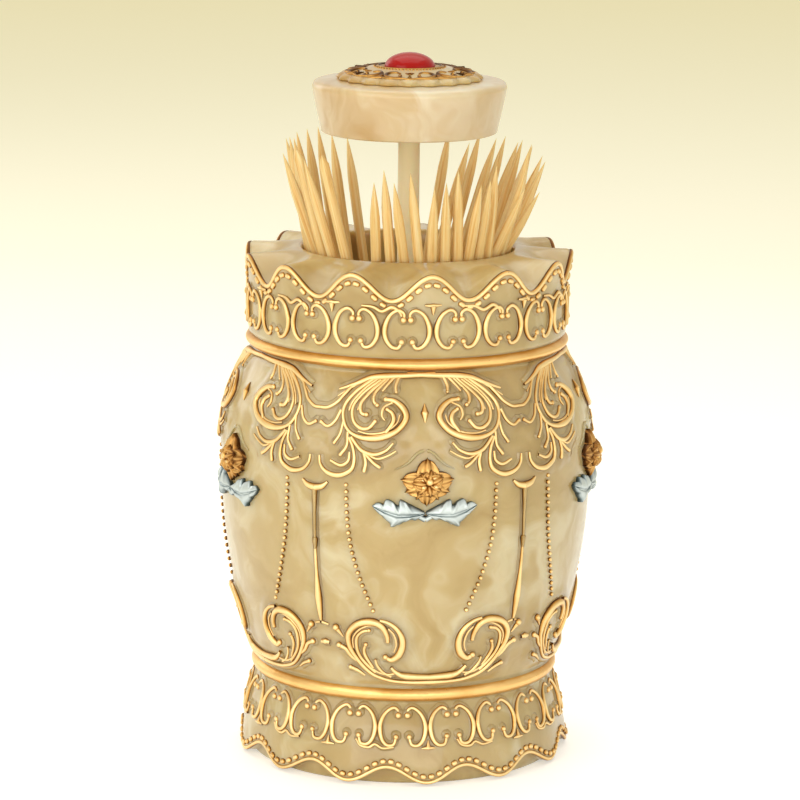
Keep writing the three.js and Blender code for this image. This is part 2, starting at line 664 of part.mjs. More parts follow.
// Tray: floor, skirt, hub for the rod, lug in front and boss for the latch pin at the back
function tray() {
  const skirtBottom = trayFloor - TRAY_SKIRT_HEIGHT;
  const hubBottom = trayUnder - TRAY_HUB_HEIGHT;
  const rodHole = ROD_RADIUS + RUNNING_GAP;
  const skirtInside = TRAY_RADIUS - TRAY_SKIRT_WALL;
  const cup = solid(revolved(closed([
    [rodHole, hubBottom], [TRAY_HUB_RADIUS, hubBottom], [TRAY_HUB_RADIUS, trayUnder],
    [skirtInside, trayUnder], [skirtInside, skirtBottom], [TRAY_RADIUS, skirtBottom],
    [TRAY_RADIUS, trayFloor], [rodHole, trayFloor],
  ]), TRAY_SEGMENTS));
  const lug = solid(block([-LUG_WIDTH / 2, LUG_WIDTH / 2],
    [-housingRadius + RUNNING_GAP, -skirtInside - TRAY_SKIRT_WALL / 2],
    [lugTop - LUG_HEIGHT, lugTop]));
  const bossFront = TRAY_RADIUS - PIN_BOSS_LENGTH;
  const bossBack = TRAY_RADIUS - TRAY_SKIRT_WALL / 2;
  const boss = solid(alongY(cylinder(PIN_BOSS_RADIUS, bossFront, bossBack), pivotHeight));
  const pinHole = solid(alongY(cylinder(PIN_RADIUS + SEAT_GAP, bossFront - CUT_OVERRUN,
    TRAY_RADIUS + CUT_OVERRUN), pivotHeight));
  return piece('tray', toGeometry(cup.add(lug).add(boss).subtract(pinHole)), creamPlastic);
}

// Rod with its collar on the tray, blind screw hole below, and the lid's socket above
const hubBottomHeight = trayUnder - TRAY_HUB_HEIGHT;
const rodBottom = hubBottomHeight + SEAT_GAP;

function rod() {
  const hole = ROD_SCREW_RADIUS + RUNNING_GAP;
  const holeTop = rodBottom + ROD_SCREW_LENGTH;
  const collarBottom = trayFloor + SEAT_GAP;
  const collarTop = collarBottom + ROD_COLLAR_THICKNESS;
  const top = lidBottom + ROD_SOCKET_DEPTH - SEAT_GAP;
  return piece('lift_rod', revolved([
    [0, holeTop], [hole, holeTop], [hole, rodBottom], [ROD_RADIUS, rodBottom],
    [ROD_RADIUS, collarBottom], [ROD_COLLAR_RADIUS, collarBottom], [ROD_COLLAR_RADIUS, collarTop],
    [ROD_RADIUS, collarTop], [ROD_RADIUS, top], [0, top],
  ], SMALL_SEGMENTS * 2), creamPlastic);
}

const washerTop = hubBottomHeight - SEAT_GAP;
const washerBottom = washerTop - WASHER_THICKNESS;

function rodWasher() {
  const hole = ROD_SCREW_RADIUS + RUNNING_GAP;
  return piece('rod_washer', revolved(closed([
    [hole, washerBottom], [WASHER_RADIUS, washerBottom], [WASHER_RADIUS, washerTop],
    [hole, washerTop],
  ]), SMALL_SEGMENTS * 2), steel);
}

function rodScrew() {
  const headTop = washerBottom - SEAT_GAP;
  const headBottom = headTop - ROD_SCREW_HEAD_THICKNESS;
  const tip = rodBottom + ROD_SCREW_LENGTH - SEAT_GAP;
  return piece('rod_screw', revolved([
    [0, headBottom], [ROD_SCREW_HEAD_RADIUS, headBottom], [ROD_SCREW_HEAD_RADIUS, headTop],
    [ROD_SCREW_RADIUS, headTop], [ROD_SCREW_RADIUS, tip - ROD_SCREW_RADIUS], [0, tip],
  ], SMALL_SEGMENTS), steel);
}

// Latch arm on its pin
function latchPin() {
  const inner = TRAY_RADIUS - PIN_BOSS_LENGTH - SEAT_GAP;
  const shank = pinHeadFace;
  const pin = piece('latch_pin', alongY(revolved([
    [0, inner], [PIN_RADIUS, inner], [PIN_RADIUS, shank], [PIN_HEAD_RADIUS, shank],
    [PIN_HEAD_RADIUS, shank + PIN_HEAD_THICKNESS], [0, shank + PIN_HEAD_THICKNESS],
  ], SMALL_SEGMENTS), 0), steel);
  pin.position.set(0, 0, pivotHeight);
  return pin;
}

function latchArm() {
  const outline = new THREE.Shape();
  outline.absarc(0, 0, ARM_HUB_RADIUS, 0, Math.PI);
  outline.absarc(0, -ARM_LENGTH, ARM_TIP_RADIUS, Math.PI, 2 * Math.PI);
  outline.closePath();
  const eye = new THREE.Path();
  eye.absarc(0, 0, PIN_RADIUS + SEAT_GAP, 0, 2 * Math.PI, true);
  outline.holes.push(eye);
  const peg = solid(alongY(cylinder(PEG_RADIUS, armFace + ARM_THICKNESS / 2,
    camPlateFace + CAM_GROOVE_DEPTH - SEAT_GAP), -ARM_LENGTH));
  const arm = piece('latch_arm', toGeometry(solid(slab(outline, armFace, armBack)).add(peg)), steel);
  arm.position.set(0, 0, pivotHeight);
  arm.rotation.y = radians(ARM_SWING / 2);
  return arm;
}

// Lid, with its rosette and gem
function lid() {
  const socket = ROD_RADIUS + RUNNING_GAP;
  const socketTop = lidBottom + ROD_SOCKET_DEPTH;
  const shoulder = lidBottom + LID_SHOULDER_HEIGHT;
  const bottomRadius = LID_RADIUS - LID_TAPER;
  const side = LID_SIDE_SHARES.map(([taper, up]) => [
    LID_RADIUS - LID_TAPER * taper, lidBottom + LID_SHOULDER_HEIGHT * up]);
  return piece('lid', revolved([
    [0, socketTop], [socket, socketTop], [socket, lidBottom], [bottomRadius - LID_EDGE, lidBottom],
    [bottomRadius, lidBottom + LID_EDGE], ...side,
    [LID_RADIUS, shoulder - LID_EDGE], [LID_RADIUS - LID_EDGE / 3, shoulder],
    [LID_RADIUS - 2 * LID_EDGE, shoulder + LID_CROWN / 2],
    [ROSETTE_RADIUS + LID_EDGE, lidTop - LID_CROWN / 8], [ROSETTE_RADIUS - LID_EDGE, lidTop],
    [0, lidTop],
  ], LID_SEGMENTS), resin);
}

function rosette() {
  const bottom = lidTop + SEAT_GAP;
  const recess = GEM_RADIUS + SEAT_GAP;
  const bezel = recess + BEZEL_WIDTH;
  return piece('lid_rosette', revolved([
    [0, bottom], [ROSETTE_RADIUS, bottom, ROSETTE_FLUTE_DEPTH],
    [ROSETTE_RADIUS - ROSETTE_FLUTE_DEPTH, bottom + ROSETTE_HEIGHT * ROSETTE_RIM_SHARE, ROSETTE_FLUTE_DEPTH],
    [ROSETTE_RADIUS - 3 * ROSETTE_FLUTE_DEPTH, bottom + ROSETTE_HEIGHT, ROSETTE_FLUTE_DEPTH / 2],
    [bezel + BEZEL_WIDTH, bottom + ROSETTE_HEIGHT],
    [bezel, bottom + BEZEL_HEIGHT], [recess, bottom + BEZEL_HEIGHT],
    [recess, bottom + GEM_RECESS_FLOOR], [0, bottom + GEM_RECESS_FLOOR],
  ], ROSETTE_FLUTES * 3, ROSETTE_FLUTES), clearResin);
}

function gem() {
  const bottom = lidTop + 2 * SEAT_GAP + GEM_RECESS_FLOOR;
  const girdle = GEM_HEIGHT * GEM_GIRDLE_SHARE;
  const dome = GEM_DOME_SHARES.map((share) => {
    const angle = share * Math.PI / 2;
    return [GEM_RADIUS * Math.cos(angle), bottom + girdle + (GEM_HEIGHT - girdle) * Math.sin(angle)];
  });
  return piece('gem', revolved([
    [0, bottom], [GEM_RADIUS * GEM_FOOT_SHARE, bottom], ...dome, [0, bottom + GEM_HEIGHT],
  ], SMALL_SEGMENTS * 2), redGem);
}

// Toothpicks
function pickShape(bluntUp) {
  const butt = PICK_BUTT_SHARES.map(([radius, along]) => [
    PICK_RADIUS * radius, PICK_BUTT_LENGTH * along]);
  const point = PICK_POINT_SHARES.map(([radius, along]) => [
    PICK_RADIUS * radius, PICK_LENGTH - PICK_POINT_LENGTH * (1 - along)]);
  const profile = [...butt, ...point];
  if (!bluntUp) return revolved(profile, PICK_SIDES);
  return revolved(profile.map(([radius, along]) => [radius, PICK_LENGTH - along]).reverse(),
    PICK_SIDES);
}

function toothpick(number, rimAzimuth, ring, footAzimuth) {
  const foot = onCircle(TRAY_RADIUS * FOOT_RING_SHARES[ring], footAzimuth, trayFloor + SEAT_GAP);
  const lean = onCircle(pickRimRadius, rimAzimuth, rimHeight).sub(foot).normalize();
  const name = `toothpick_${String(number).padStart(2, '0')}`;
  const pick = piece(name, pickShape(BLUNT_UP.includes(number)), pickWood);
  pick.position.copy(foot);
  pick.quaternion.setFromUnitVectors(new THREE.Vector3(0, 0, 1), lean);
  return pick;
}

function toothpicks() {
  const picks = [];
  for (const { from, to, feet } of SHEAVES) {
    feet.forEach(([ring, footAzimuth], i) => {
      const rimAzimuth = from + (to - from) * i / (feet.length - 1);
      picks.push(toothpick(picks.length + 1, rimAzimuth, ring, footAzimuth));
    });
  }
  return picks;
}

// Assembly
const dispenser = new THREE.Group();
dispenser.name = 'toothpick_dispenser';
const fixed = new THREE.Group();
fixed.name = 'fixed_pieces';
fixed.add(potBody(), basePad(), ...baseScrews(), housing(), camPlate(), ...camScrews(), spring());
const lift = new THREE.Group();
lift.name = 'lifting_pieces';
lift.add(tray(), rod(), rodWasher(), rodScrew(), latchPin(), latchArm(), lid(), rosette(), gem());
const sheaf = new THREE.Group();
sheaf.name = 'toothpick_sheaf';
sheaf.add(...toothpicks());
dispenser.add(fixed, lift, sheaf);

console.log(`Least gap between the spring's turns: ${Math.min(...springWireGap).toFixed(2)} mm`);

export default dispenser;
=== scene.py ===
# Looks of a press-to-open toothpick dispenser: a pearly resin pot with a ruffled collar and
# gilded scrollwork, a resin lid with a red stone, and a sheaf of bamboo toothpicks.
# Metres, +Z up, front towards -Y. Azimuths are counted from the front towards the right (+X).

import math

import bpy
import numpy as np
from mathutils import Matrix, Vector, kdtree

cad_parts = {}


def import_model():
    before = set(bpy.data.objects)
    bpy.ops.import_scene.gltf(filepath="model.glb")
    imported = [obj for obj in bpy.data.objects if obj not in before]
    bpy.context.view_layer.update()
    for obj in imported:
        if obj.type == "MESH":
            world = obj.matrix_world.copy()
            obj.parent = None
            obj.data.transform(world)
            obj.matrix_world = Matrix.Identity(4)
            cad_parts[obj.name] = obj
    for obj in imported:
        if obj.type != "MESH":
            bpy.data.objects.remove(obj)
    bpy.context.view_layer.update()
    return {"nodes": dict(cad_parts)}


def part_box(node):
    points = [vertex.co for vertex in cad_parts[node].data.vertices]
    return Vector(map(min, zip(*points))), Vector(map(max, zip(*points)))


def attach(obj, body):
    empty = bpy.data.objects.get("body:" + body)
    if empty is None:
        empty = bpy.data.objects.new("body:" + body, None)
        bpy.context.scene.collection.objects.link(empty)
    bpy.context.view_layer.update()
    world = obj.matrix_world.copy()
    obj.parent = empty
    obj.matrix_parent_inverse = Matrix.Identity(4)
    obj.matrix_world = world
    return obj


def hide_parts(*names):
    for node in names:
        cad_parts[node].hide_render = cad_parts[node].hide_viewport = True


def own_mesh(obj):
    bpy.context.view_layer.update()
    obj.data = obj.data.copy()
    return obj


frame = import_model()
scene = bpy.context.scene

MM = 0.001


def span(node):
    """The heights of the underside and the top of one of the frame's pieces, in millimetres."""
    return [corner[2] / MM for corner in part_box(node)]


# Sizes read from the frame
RIM_HEIGHT = span("pot_body")[1]
LID_BOTTOM = span("lid")[0]
SPRING_LOW, SPRING_HIGH = span("return_spring")

# Pot casting, in millimetres
LOBES = 13
LOBE_AZIMUTH = 8.5
BASE_OPENING = 28.28
PLINTH_RADIUS = 31.38
HEM_RADIUS = 33.38
HEM_EDGE = 2.0
HEM_WAVE = 1.5
HEM_LOBE = 0.4
HEM_HEIGHT = 16.4
WAIST_RADIUS = 30.18
BELLY_RADIUS = 37.58
BELLY_BOTTOM = 19.6
BELLY_TOP = RIM_HEIGHT - 20.2
BELLY_WIDEST = BELLY_BOTTOM + 0.61 * (BELLY_TOP - BELLY_BOTTOM)
NECK_RADIUS = 30.8
COLLAR_RADIUS = 32.2
RIM_RADIUS = 32.7
RIM_EDGE = RIM_HEIGHT - 3.8
RIM_WAVE = 2.5
RIM_LOBE = 0.5
RIM_LIP = 0.9
MOUTH_RADIUS = 21.3
CREST_RADIUS = 22.8
THROAT_RADIUS = 20.3
THROAT_DEPTH = 13.3
WALL = 4.6
LEDGE_RADIUS = 22.78
LEDGE_LOW = 5.6
LEDGE_HIGH = 12.0

# Half-round rings above the hem and under the collar: lower edge, upper edge, how proud
LOWER_RING = (HEM_HEIGHT, BELLY_BOTTOM, 1.2)
UPPER_RING = (BELLY_TOP, BELLY_TOP + 3.2, 2.0)
RING_GILDING = 0.25
RING_INSET = 0.1
RING_SINK = 0.6

# Rod, its screw hole and its collar, which is measured up from the tray's floor
ROD_RADIUS = 2.2
ROD_EDGE = 0.2
SCREW_HOLE_RADIUS = 1.15
SCREW_HOLE_DEPTH = 8
ROD_COLLAR_RADIUS = 2.9
ROD_COLLAR_EDGE = 0.15
ROD_COLLAR_LOW = 0.3
ROD_COLLAR_HIGH = 1.3

# Lid, with the heights of its socket's roof, its shoulder and its flat top above its underside
LID_RADIUS = 19.6
LID_TAPER = 1.7
SOCKET_GAP = 0.3
SOCKET_TOP = 7.8
LID_SHOULDER = 10.3
LID_FLAT = 10.75

# Rosette, with the heights of the stone's seat, the face and its edge above the underside
ROSETTE_RADIUS = 14.5
ROSETTE_FLUTES = 20
ROSETTE_GAP = 0.05
BEZEL_RADIUS = 6.3
EDGE_RADIUS = 12.7
SEAT_RISE = 1.85
FACE_RISE = 2.55
EDGE_RISE = 1.35

# Stone, widest at its girdle, a share of the way up
STONE_RADIUS = 5.1
STONE_GAP = 0.15
STONE_GIRDLE = 0.1

# Return spring
SPRING_RADIUS = 10.6
SPRING_WIRE = 0.55
SPRING_TURNS = 9
SPRING_END_PITCH = 1.6

# Places of the relief round the pot, which has five panels and ten pairs of frieze units
PANELS = 5
PANEL_SPACING = 360 / PANELS
FRIEZE_PAIRS = 10
FRIEZE_SPACING = 360 / FRIEZE_PAIRS
MEDALLION_AZIMUTH = 6
GARLAND_FRONT_AZIMUTH = -28
GARLAND_FRONT_SPACING = 66.4
GARLAND_BACK_AZIMUTH = 111.6
GARLAND_BACK_SPACING = 73.2
SCROLL_AZIMUTH = -27
FRIEZE_AZIMUTH = 9

# Floor, in metres from the pot, and light from all round
FLOOR_NEAR = 0.1
FLOOR_FAR = 1.6
FLOOR_REACH = 6
WORLD_LIGHT = 0.5
BACKDROP_GLOW = 0.32

# Camera
CAMERA_DISTANCE = 0.815
CAMERA_HEIGHT = 0.234
CAMERA_PITCH = 11.25
CAMERA_PAN = 0.09
CAMERA_ROLL = 0.6
FOCAL_PIXELS = 4070
PICTURE_PIXELS = 800


# Nodes
def feed(tree, node, inputs):
    """Sets or links inputs, by name or in turn. A node given as a value is its first output."""
    for name, value in inputs.items() if isinstance(inputs, dict) else enumerate(inputs):
        if isinstance(value, bpy.types.Node):
            value = value.outputs[0]
        if isinstance(value, bpy.types.NodeSocket):
            tree.links.new(value, node.inputs[name])
        else:
            node.inputs[name].default_value = value


def add(tree, kind, inputs=(), stops=(), **settings):
    """A new node with its settings and inputs, and the stops where it is a colour ramp."""
    node = tree.nodes.new(kind)
    for name, value in settings.items():
        setattr(node, name, value)
    feed(tree, node, inputs)
    if stops:
        elements = node.color_ramp.elements
        while len(elements) < len(stops):
            elements.new(0.5)
        for element, (share, colour) in zip(elements, stops):
            element.position = share
            element.color = linear(colour)
    return node


def new_tree(name, sockets):
    """A geometry tree with a mesh in and out and the named inputs. Returns it and its input node."""
    tree = bpy.data.node_groups.new(name, "GeometryNodeTree")
    tree.interface.new_socket("Mesh", in_out="INPUT", socket_type="NodeSocketGeometry")
    for socket, kind in sockets.items():
        tree.interface.new_socket(socket, in_out="INPUT", socket_type=kind)
    tree.interface.new_socket("Mesh", in_out="OUTPUT", socket_type="NodeSocketGeometry")
    return tree, tree.nodes.new("NodeGroupInput")


def end_tree(tree, geometry, group):
    """Ends the tree: copies made real, shaded smooth and given their material."""
    realized = add(tree, "GeometryNodeRealizeInstances", (geometry,))
    smooth = add(tree, "GeometryNodeSetShadeSmooth", (realized,))
    painted = add(tree, "GeometryNodeSetMaterial",
                  {"Geometry": smooth, "Material": group.outputs["Material"]})
    add(tree, "NodeGroupOutput", (painted,))


def turned_tree():
    """A flat grid of profile points turned about the Z axis, with lobes that move it out and up."""
    tree, group = new_tree("Turned casting", {
        "Lobes": "NodeSocketFloat", "Lobe azimuth": "NodeSocketFloat",
        "Weld": "NodeSocketFloat", "Material": "NodeSocketMaterial"})
    point = {name: add(tree, "GeometryNodeInputNamedAttribute", {"Name": name}, data_type="FLOAT")
             for name in ("turn", "radius", "height", "out", "up")}
    away = add(tree, "ShaderNodeMath", (point["turn"], group.outputs["Lobe azimuth"]),
               operation="SUBTRACT")
    phase = add(tree, "ShaderNodeMath", (away, group.outputs["Lobes"]), operation="MULTIPLY")
    wave = add(tree, "ShaderNodeMath", (phase,), operation="COSINE")
    moved = []
    for start, reach in (("radius", "out"), ("height", "up")):
        shift = add(tree, "ShaderNodeMath", (point[reach], wave), operation="MULTIPLY")
        moved.append(add(tree, "ShaderNodeMath", (point[start], shift), operation="ADD"))
    radius, height = moved
    sides = []
    for operation in ("SINE", "COSINE"):
        share = add(tree, "ShaderNodeMath", (point["turn"],), operation=operation)
        sides.append(add(tree, "ShaderNodeMath", (radius, share), operation="MULTIPLY"))
    across, towards_front = sides
    back = add(tree, "ShaderNodeMath", (towards_front, -1.0), operation="MULTIPLY")
    spot = add(tree, "ShaderNodeCombineXYZ", (across, back, height))
    placed = add(tree, "GeometryNodeSetPosition",
                 {"Geometry": group.outputs["Mesh"], "Position": spot})
    welded = add(tree, "GeometryNodeMergeByDistance",
                 {"Geometry": placed, "Distance": group.outputs["Weld"]})
    end_tree(tree, welded, group)
    return tree


def ring_of_copies(tree, geometry, group):
    """The geometry, repeated about the Z axis."""
    points = add(tree, "GeometryNodeMeshLine", {"Count": group.outputs["Copies"], "Offset": (0, 0, 0)})
    index = add(tree, "GeometryNodeInputIndex")
    step = add(tree, "ShaderNodeMath", (index, group.outputs["Spacing"]), operation="MULTIPLY")
    angle = add(tree, "ShaderNodeMath", (step, group.outputs["First"]), operation="ADD")
    rotation = add(tree, "ShaderNodeCombineXYZ", {"Z": angle})
    return add(tree, "GeometryNodeInstanceOnPoints",
               {"Points": points, "Instance": geometry, "Rotation": rotation})


RING_SOCKETS = {"Copies": "NodeSocketInt", "First": "NodeSocketFloat",
                "Spacing": "NodeSocketFloat", "Material": "NodeSocketMaterial"}


def relief_tree():
    """Lines of points as round-backed ribs that taper, with balls where a point says so."""
    tree, group = new_tree("Relief lines", {"Sides": "NodeSocketInt", **RING_SOCKETS})
    thickness, size = (
        add(tree, "GeometryNodeInputNamedAttribute", {"Name": name}, data_type="FLOAT")
        for name in ("thickness", "ball"))
    line = add(tree, "GeometryNodeMeshToCurve", {"Mesh": group.outputs["Mesh"]})
    section = add(tree, "GeometryNodeCurvePrimitiveCircle",
                  {"Resolution": group.outputs["Sides"], "Radius": 1.0})
    ribs = add(tree, "GeometryNodeCurveToMesh", {
        "Curve": line, "Profile Curve": section, "Scale": thickness, "Fill Caps": True})
    ball = add(tree, "GeometryNodeMeshIcoSphere", {"Radius": 1.0, "Subdivisions": 2})
    wanted = add(tree, "ShaderNodeMath", (size, 0.0), operation="GREATER_THAN")
    balls = add(tree, "GeometryNodeInstanceOnPoints", {
        "Points": group.outputs["Mesh"], "Selection": wanted, "Instance": ball, "Scale": size})
    joined = add(tree, "GeometryNodeJoinGeometry", (ribs,))
    feed(tree, joined, (balls,))
    whole = add(tree, "GeometryNodeRealizeInstances", (joined,))
    end_tree(tree, ring_of_copies(tree, whole, group), group)
    return tree


def copies_tree():
    """A modelled motif, repeated about the Z axis."""
    tree, group = new_tree("Ring of motifs", RING_SOCKETS)
    end_tree(tree, ring_of_copies(tree, group.outputs["Mesh"], group), group)
    return tree


TURNED = turned_tree()
RELIEF = relief_tree()
COPIES = copies_tree()


def finished(name, mesh, tree, settings):
    """The mesh as the tree leaves it, as a plain mesh object at the origin."""
    source = bpy.data.objects.new(name + "_source", mesh)
    scene.collection.objects.link(source)
    modifier = source.modifiers.new("shape", "NODES")
    modifier.node_group = tree
    for item in tree.interface.items_tree:
        if item.in_out == "INPUT" and item.name in settings:
            modifier[item.identifier] = settings[item.name]
    graph = bpy.context.evaluated_depsgraph_get()
    result = bpy.data.meshes.new_from_object(source.evaluated_get(graph), depsgraph=graph,
                                             preserve_all_data_layers=True)
    source.modifiers.remove(modifier)
    bpy.data.objects.remove(source)
    result.name = name
    piece = bpy.data.objects.new(name, result)
    scene.collection.objects.link(piece)
    return piece


def fit(piece, body, slot, *nodes):
    """Ties a piece to its body and hides the frame's pieces that it stands for. The finish (slot) is
    not used.
    """
    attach(piece, body)
    if nodes:
        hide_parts(*nodes)


def set_field(mesh, name, values):
    mesh.attributes.new(name, "FLOAT", "POINT").data.foreach_set("value", np.asarray(values, "f"))


# Materials
def linear(code):
    """An sRGB hex colour as linear light."""
    channels = [int(code[i:i + 2], 16) / 255 for i in (1, 3, 5)]
    return [c / 12.92 if c < 0.04045 else ((c + 0.055) / 1.055) ** 2.4 for c in channels] + [1]


def pattern(size):
    """The scale of a noise whose features are this many millimetres apart."""
    return 1 / (size * MM)


def new_material(name, **settings):
    material = bpy.data.materials.new(name)
    material.use_nodes = True
    tree = material.node_tree
    shader = tree.nodes["Principled BSDF"]
    feed(tree, shader, {socket.replace("_", " "): value for socket, value in settings.items()})
    return material, tree, shader


# Patterns on the object, in millimetres: the resin's clouds, the drift that bends them and the
# pits in its skin, the paint's grit and where it is rubbed thin, and the grain of mouldings.
# Grit and grain are far finer on the real thing, and drawn as coarse as they need to show.
CLOUD_SIZE = 25
DRIFT_SIZE = 26.3
PIT_SIZE = 3.846
GRIT_SIZE = 1.111
RUB_SIZE = 6.67
GRAIN_SIZE = 2.38


def skin(tree, place, apart, deep, detail=3):
    """A noise with features so many millimetres apart, and the bumps it makes, so many deep."""
    noise = add(tree, "ShaderNodeTexNoise",
                {"Vector": place, "Scale": pattern(apart), "Detail": detail})
    return noise, add(tree, "ShaderNodeBump", {"Height": noise, "Distance": deep * MM})


def pearly_resin(name, shade, mid, light, **settings):
    """Cast polyester resin with pearl pigment stirred in: cloudy veins under a polished skin."""
    material, tree, shader = new_material(
        name, Roughness=0.3, IOR=1.5, Subsurface_Weight=0.4, Subsurface_Scale=6 * MM,
        Subsurface_Radius=(1.0, 0.7, 0.36), Coat_Weight=0.5, Coat_Roughness=0.08, **settings)
    place = add(tree, "ShaderNodeTexCoord").outputs["Object"]
    drift = add(tree, "ShaderNodeTexNoise",
                {"Vector": place, "Scale": pattern(DRIFT_SIZE), "Detail": 3})
    warped = add(tree, "ShaderNodeMix", {0: 0.055, 6: place, 7: drift.outputs["Color"]},
                 data_type="RGBA", blend_type="ADD").outputs[2]
    veins = add(tree, "ShaderNodeTexNoise", {
        "Vector": warped, "Scale": pattern(CLOUD_SIZE), "Detail": 4, "Roughness": 0.5,
        "Distortion": 1.2})
    clouds = add(tree, "ShaderNodeValToRGB", (veins,), [(0.28, shade), (0.5, mid), (0.78, light)])
    # Painted shade round the scrollwork, with a little gold wash: the brown is mixed in as far as the
    # mesh gives
    shade_and_wash = add(tree, "ShaderNodeAttribute", attribute_name="shade_and_wash").outputs["Fac"]
    shaded_and_washed = add(tree, "ShaderNodeMix", {0: shade_and_wash, 6: clouds, 7: linear(SHADE_AND_WASH_BROWN)},
                 data_type="RGBA").outputs[2]
    pits = skin(tree, place, PIT_SIZE, 0.12)[1]
    feed(tree, shader, {"Base Color": shaded_and_washed, "Normal": pits})
    return material


def paint_with_wear_and_painted_light(name, crest_highlight, middle, recess_shade, metallic, roughness):
    """Metal paint over relief, rubbed thin in places: bright on the crests as painted highlight, dull
    and brown down the sides as painted shade.
    """
    material, tree, shader = new_material(name, Metallic=metallic)
    place = add(tree, "ShaderNodeTexCoord").outputs["Object"]
    # Painted highlight and painted shade: how far the surface faces out from the axis sets how light
    # the paint is
    outward = add(tree, "ShaderNodeVectorMath", (place, (1, 1, 0)), operation="MULTIPLY")
    unit = add(tree, "ShaderNodeVectorMath", (outward,), operation="NORMALIZE")
    normal = add(tree, "ShaderNodeNewGeometry").outputs["Normal"]
    facing = add(tree, "ShaderNodeVectorMath", (unit, normal), operation="DOT_PRODUCT")
    grit, bumps = skin(tree, place, GRIT_SIZE, 0.08, 4)
    rubbed = add(tree, "ShaderNodeTexNoise",
                 {"Vector": place, "Scale": pattern(RUB_SIZE), "Detail": 4})
    uneven = add(tree, "ShaderNodeMath", (rubbed, 0.5), operation="SUBTRACT")
    thin = add(tree, "ShaderNodeMath", (uneven, 0.7), operation="MULTIPLY")
    level = add(tree, "ShaderNodeMath", (facing.outputs["Value"], thin), operation="ADD")
    # The crest colour is painted highlight and the recess colour is painted shade; the rubbed noise is
    # wear
    colour = add(tree, "ShaderNodeValToRGB", (level,),
                 [(0.1, recess_shade), (0.55, middle), (0.95, crest_highlight)])
    speckle = add(tree, "ShaderNodeMath", (grit, 0.3), operation="MULTIPLY")
    rough = add(tree, "ShaderNodeMath", (speckle, roughness - 0.15), operation="ADD")
    feed(tree, shader, {"Base Color": colour, "Roughness": rough, "Normal": bumps})
    return material


def moulding(name, colour, roughness, grain=0.04, **settings):
    """A moulded or plated surface of one colour, with a grain so many millimetres deep."""
    material, tree, shader = new_material(
        name, Base_Color=linear(colour), Roughness=roughness, **settings)
    place = add(tree, "ShaderNodeTexCoord").outputs["Object"]
    feed(tree, shader, {"Normal": skin(tree, place, GRAIN_SIZE, grain)[1]})
    return material


def bamboo(name):
    """Split bamboo, turned and polished: long fine fibres, pale, with darker strands."""
    material, tree, shader = new_material(
        name, Roughness=0.55, Subsurface_Weight=0.12, Subsurface_Scale=1 * MM,
        Subsurface_Radius=(1.0, 0.6, 0.3))
    grain = add(tree, "ShaderNodeUVMap", uv_map="grain")
    fibres = add(tree, "ShaderNodeTexNoise", {
        "Vector": grain, "Scale": 1.0, "Detail": 4, "Roughness": 0.65})
    colour = add(tree, "ShaderNodeValToRGB", (fibres,), [
        (0.28, "#CC9040"), (0.42, "#EFC67C"), (0.6, "#FADFA0"), (0.8, "#FFF2CA")])
    ridges = add(tree, "ShaderNodeBump", {"Height": fibres, "Distance": 0.1 * MM})
    feed(tree, shader, {"Base Color": colour, "Normal": ridges})
    return material


# Resin: honey and cream clouds that light sinks into, browner round the scrollwork with painted shade
# and a little gold wash
SHADE_AND_WASH_BROWN = "#9A7038"
RESIN = pearly_resin("pearl_cast_resin", "#B99A5C", "#CBB177", "#ECE1BC")
# The beds under the ribs are the same resin painted darker: painted shade with a little gold wash
BED_RESIN = pearly_resin("pearl_cast_resin_shaded_gilt", "#B6955A", "#CBAC74", "#DFC998")
LID_RESIN = pearly_resin("pearl_cast_resin_lid", "#C9A56C", "#DAC092", "#F4EBD2")
CLEAR_RESIN = pearly_resin("clear_cast_resin", "#C08E44", "#D4A860", "#EBCB8C",
                           Transmission_Weight=0.1)
# Paint: antique gold, warmer on the rings, browner on the flowers and the lid, cool silver leaves;
# each lightest colour is painted highlight on crests, each darkest is painted shade on sides
GOLD = paint_with_wear_and_painted_light("antique_gold_paint", "#FFE0A0", "#D29A48", "#643A12", 0.75, 0.34)
RING_GOLD = paint_with_wear_and_painted_light("antique_gold_paint_rings", "#FBCE84", "#DEA24C", "#93602A", 0.8, 0.34)
FLOWER_GOLD = paint_with_wear_and_painted_light("antique_gold_paint_flowers", "#E2B26A", "#A06C2E", "#54300C", 0.8,
                         0.36)
BRONZE = paint_with_wear_and_painted_light("bronze_gold_paint", "#E2B060", "#9C6A2C", "#5E3A14", 0.8, 0.4)
SILVER = paint_with_wear_and_painted_light("silver_paint", "#CDD6D6", "#8C9A9D", "#4A5A5E", 0.75, 0.42)
# Pressed glass: deep, even red with one soft highlight
STONE = moulding("red_glass_cabochon", "#B20E06", 0.2, 0.01, Coat_Weight=0.06,
                 Specular_IOR_Level=0.22)
# Moulded plastics: cream and slightly see-through, matt ivory, waxy white
CREAM = moulding("cream_polystyrene", "#FBEBBE", 0.38, Subsurface_Weight=0.3,
                 Subsurface_Scale=2 * MM)
HOUSING = moulding("ivory_polypropylene", "#DDD3BA", 0.5)
ACETAL = moulding("natural_acetal", "#F0ECE0", 0.4)
# Zinc plate: bright and grey. Felt: dark, soft and without shine
STEEL = moulding("zinc_plated_steel", "#B9BCC0", 0.3, Metallic=1.0)
FELT = moulding("brown_felt", "#6B4A2C", 0.95, 0.4)
WOOD = bamboo("split_bamboo")


# Turned pieces, whose doubled points are welded within so many millimetres, and the columns of
# their grids: to a lobe of the pot and of its rings, to a flute, and right round
WELD = 0.004
POT_LOBE_COLUMNS = 32
RING_LOBE_COLUMNS = 16
FLUTE_COLUMNS = 12
LID_COLUMNS = 144
ROD_COLUMNS = 48
STONE_COLUMNS = 72


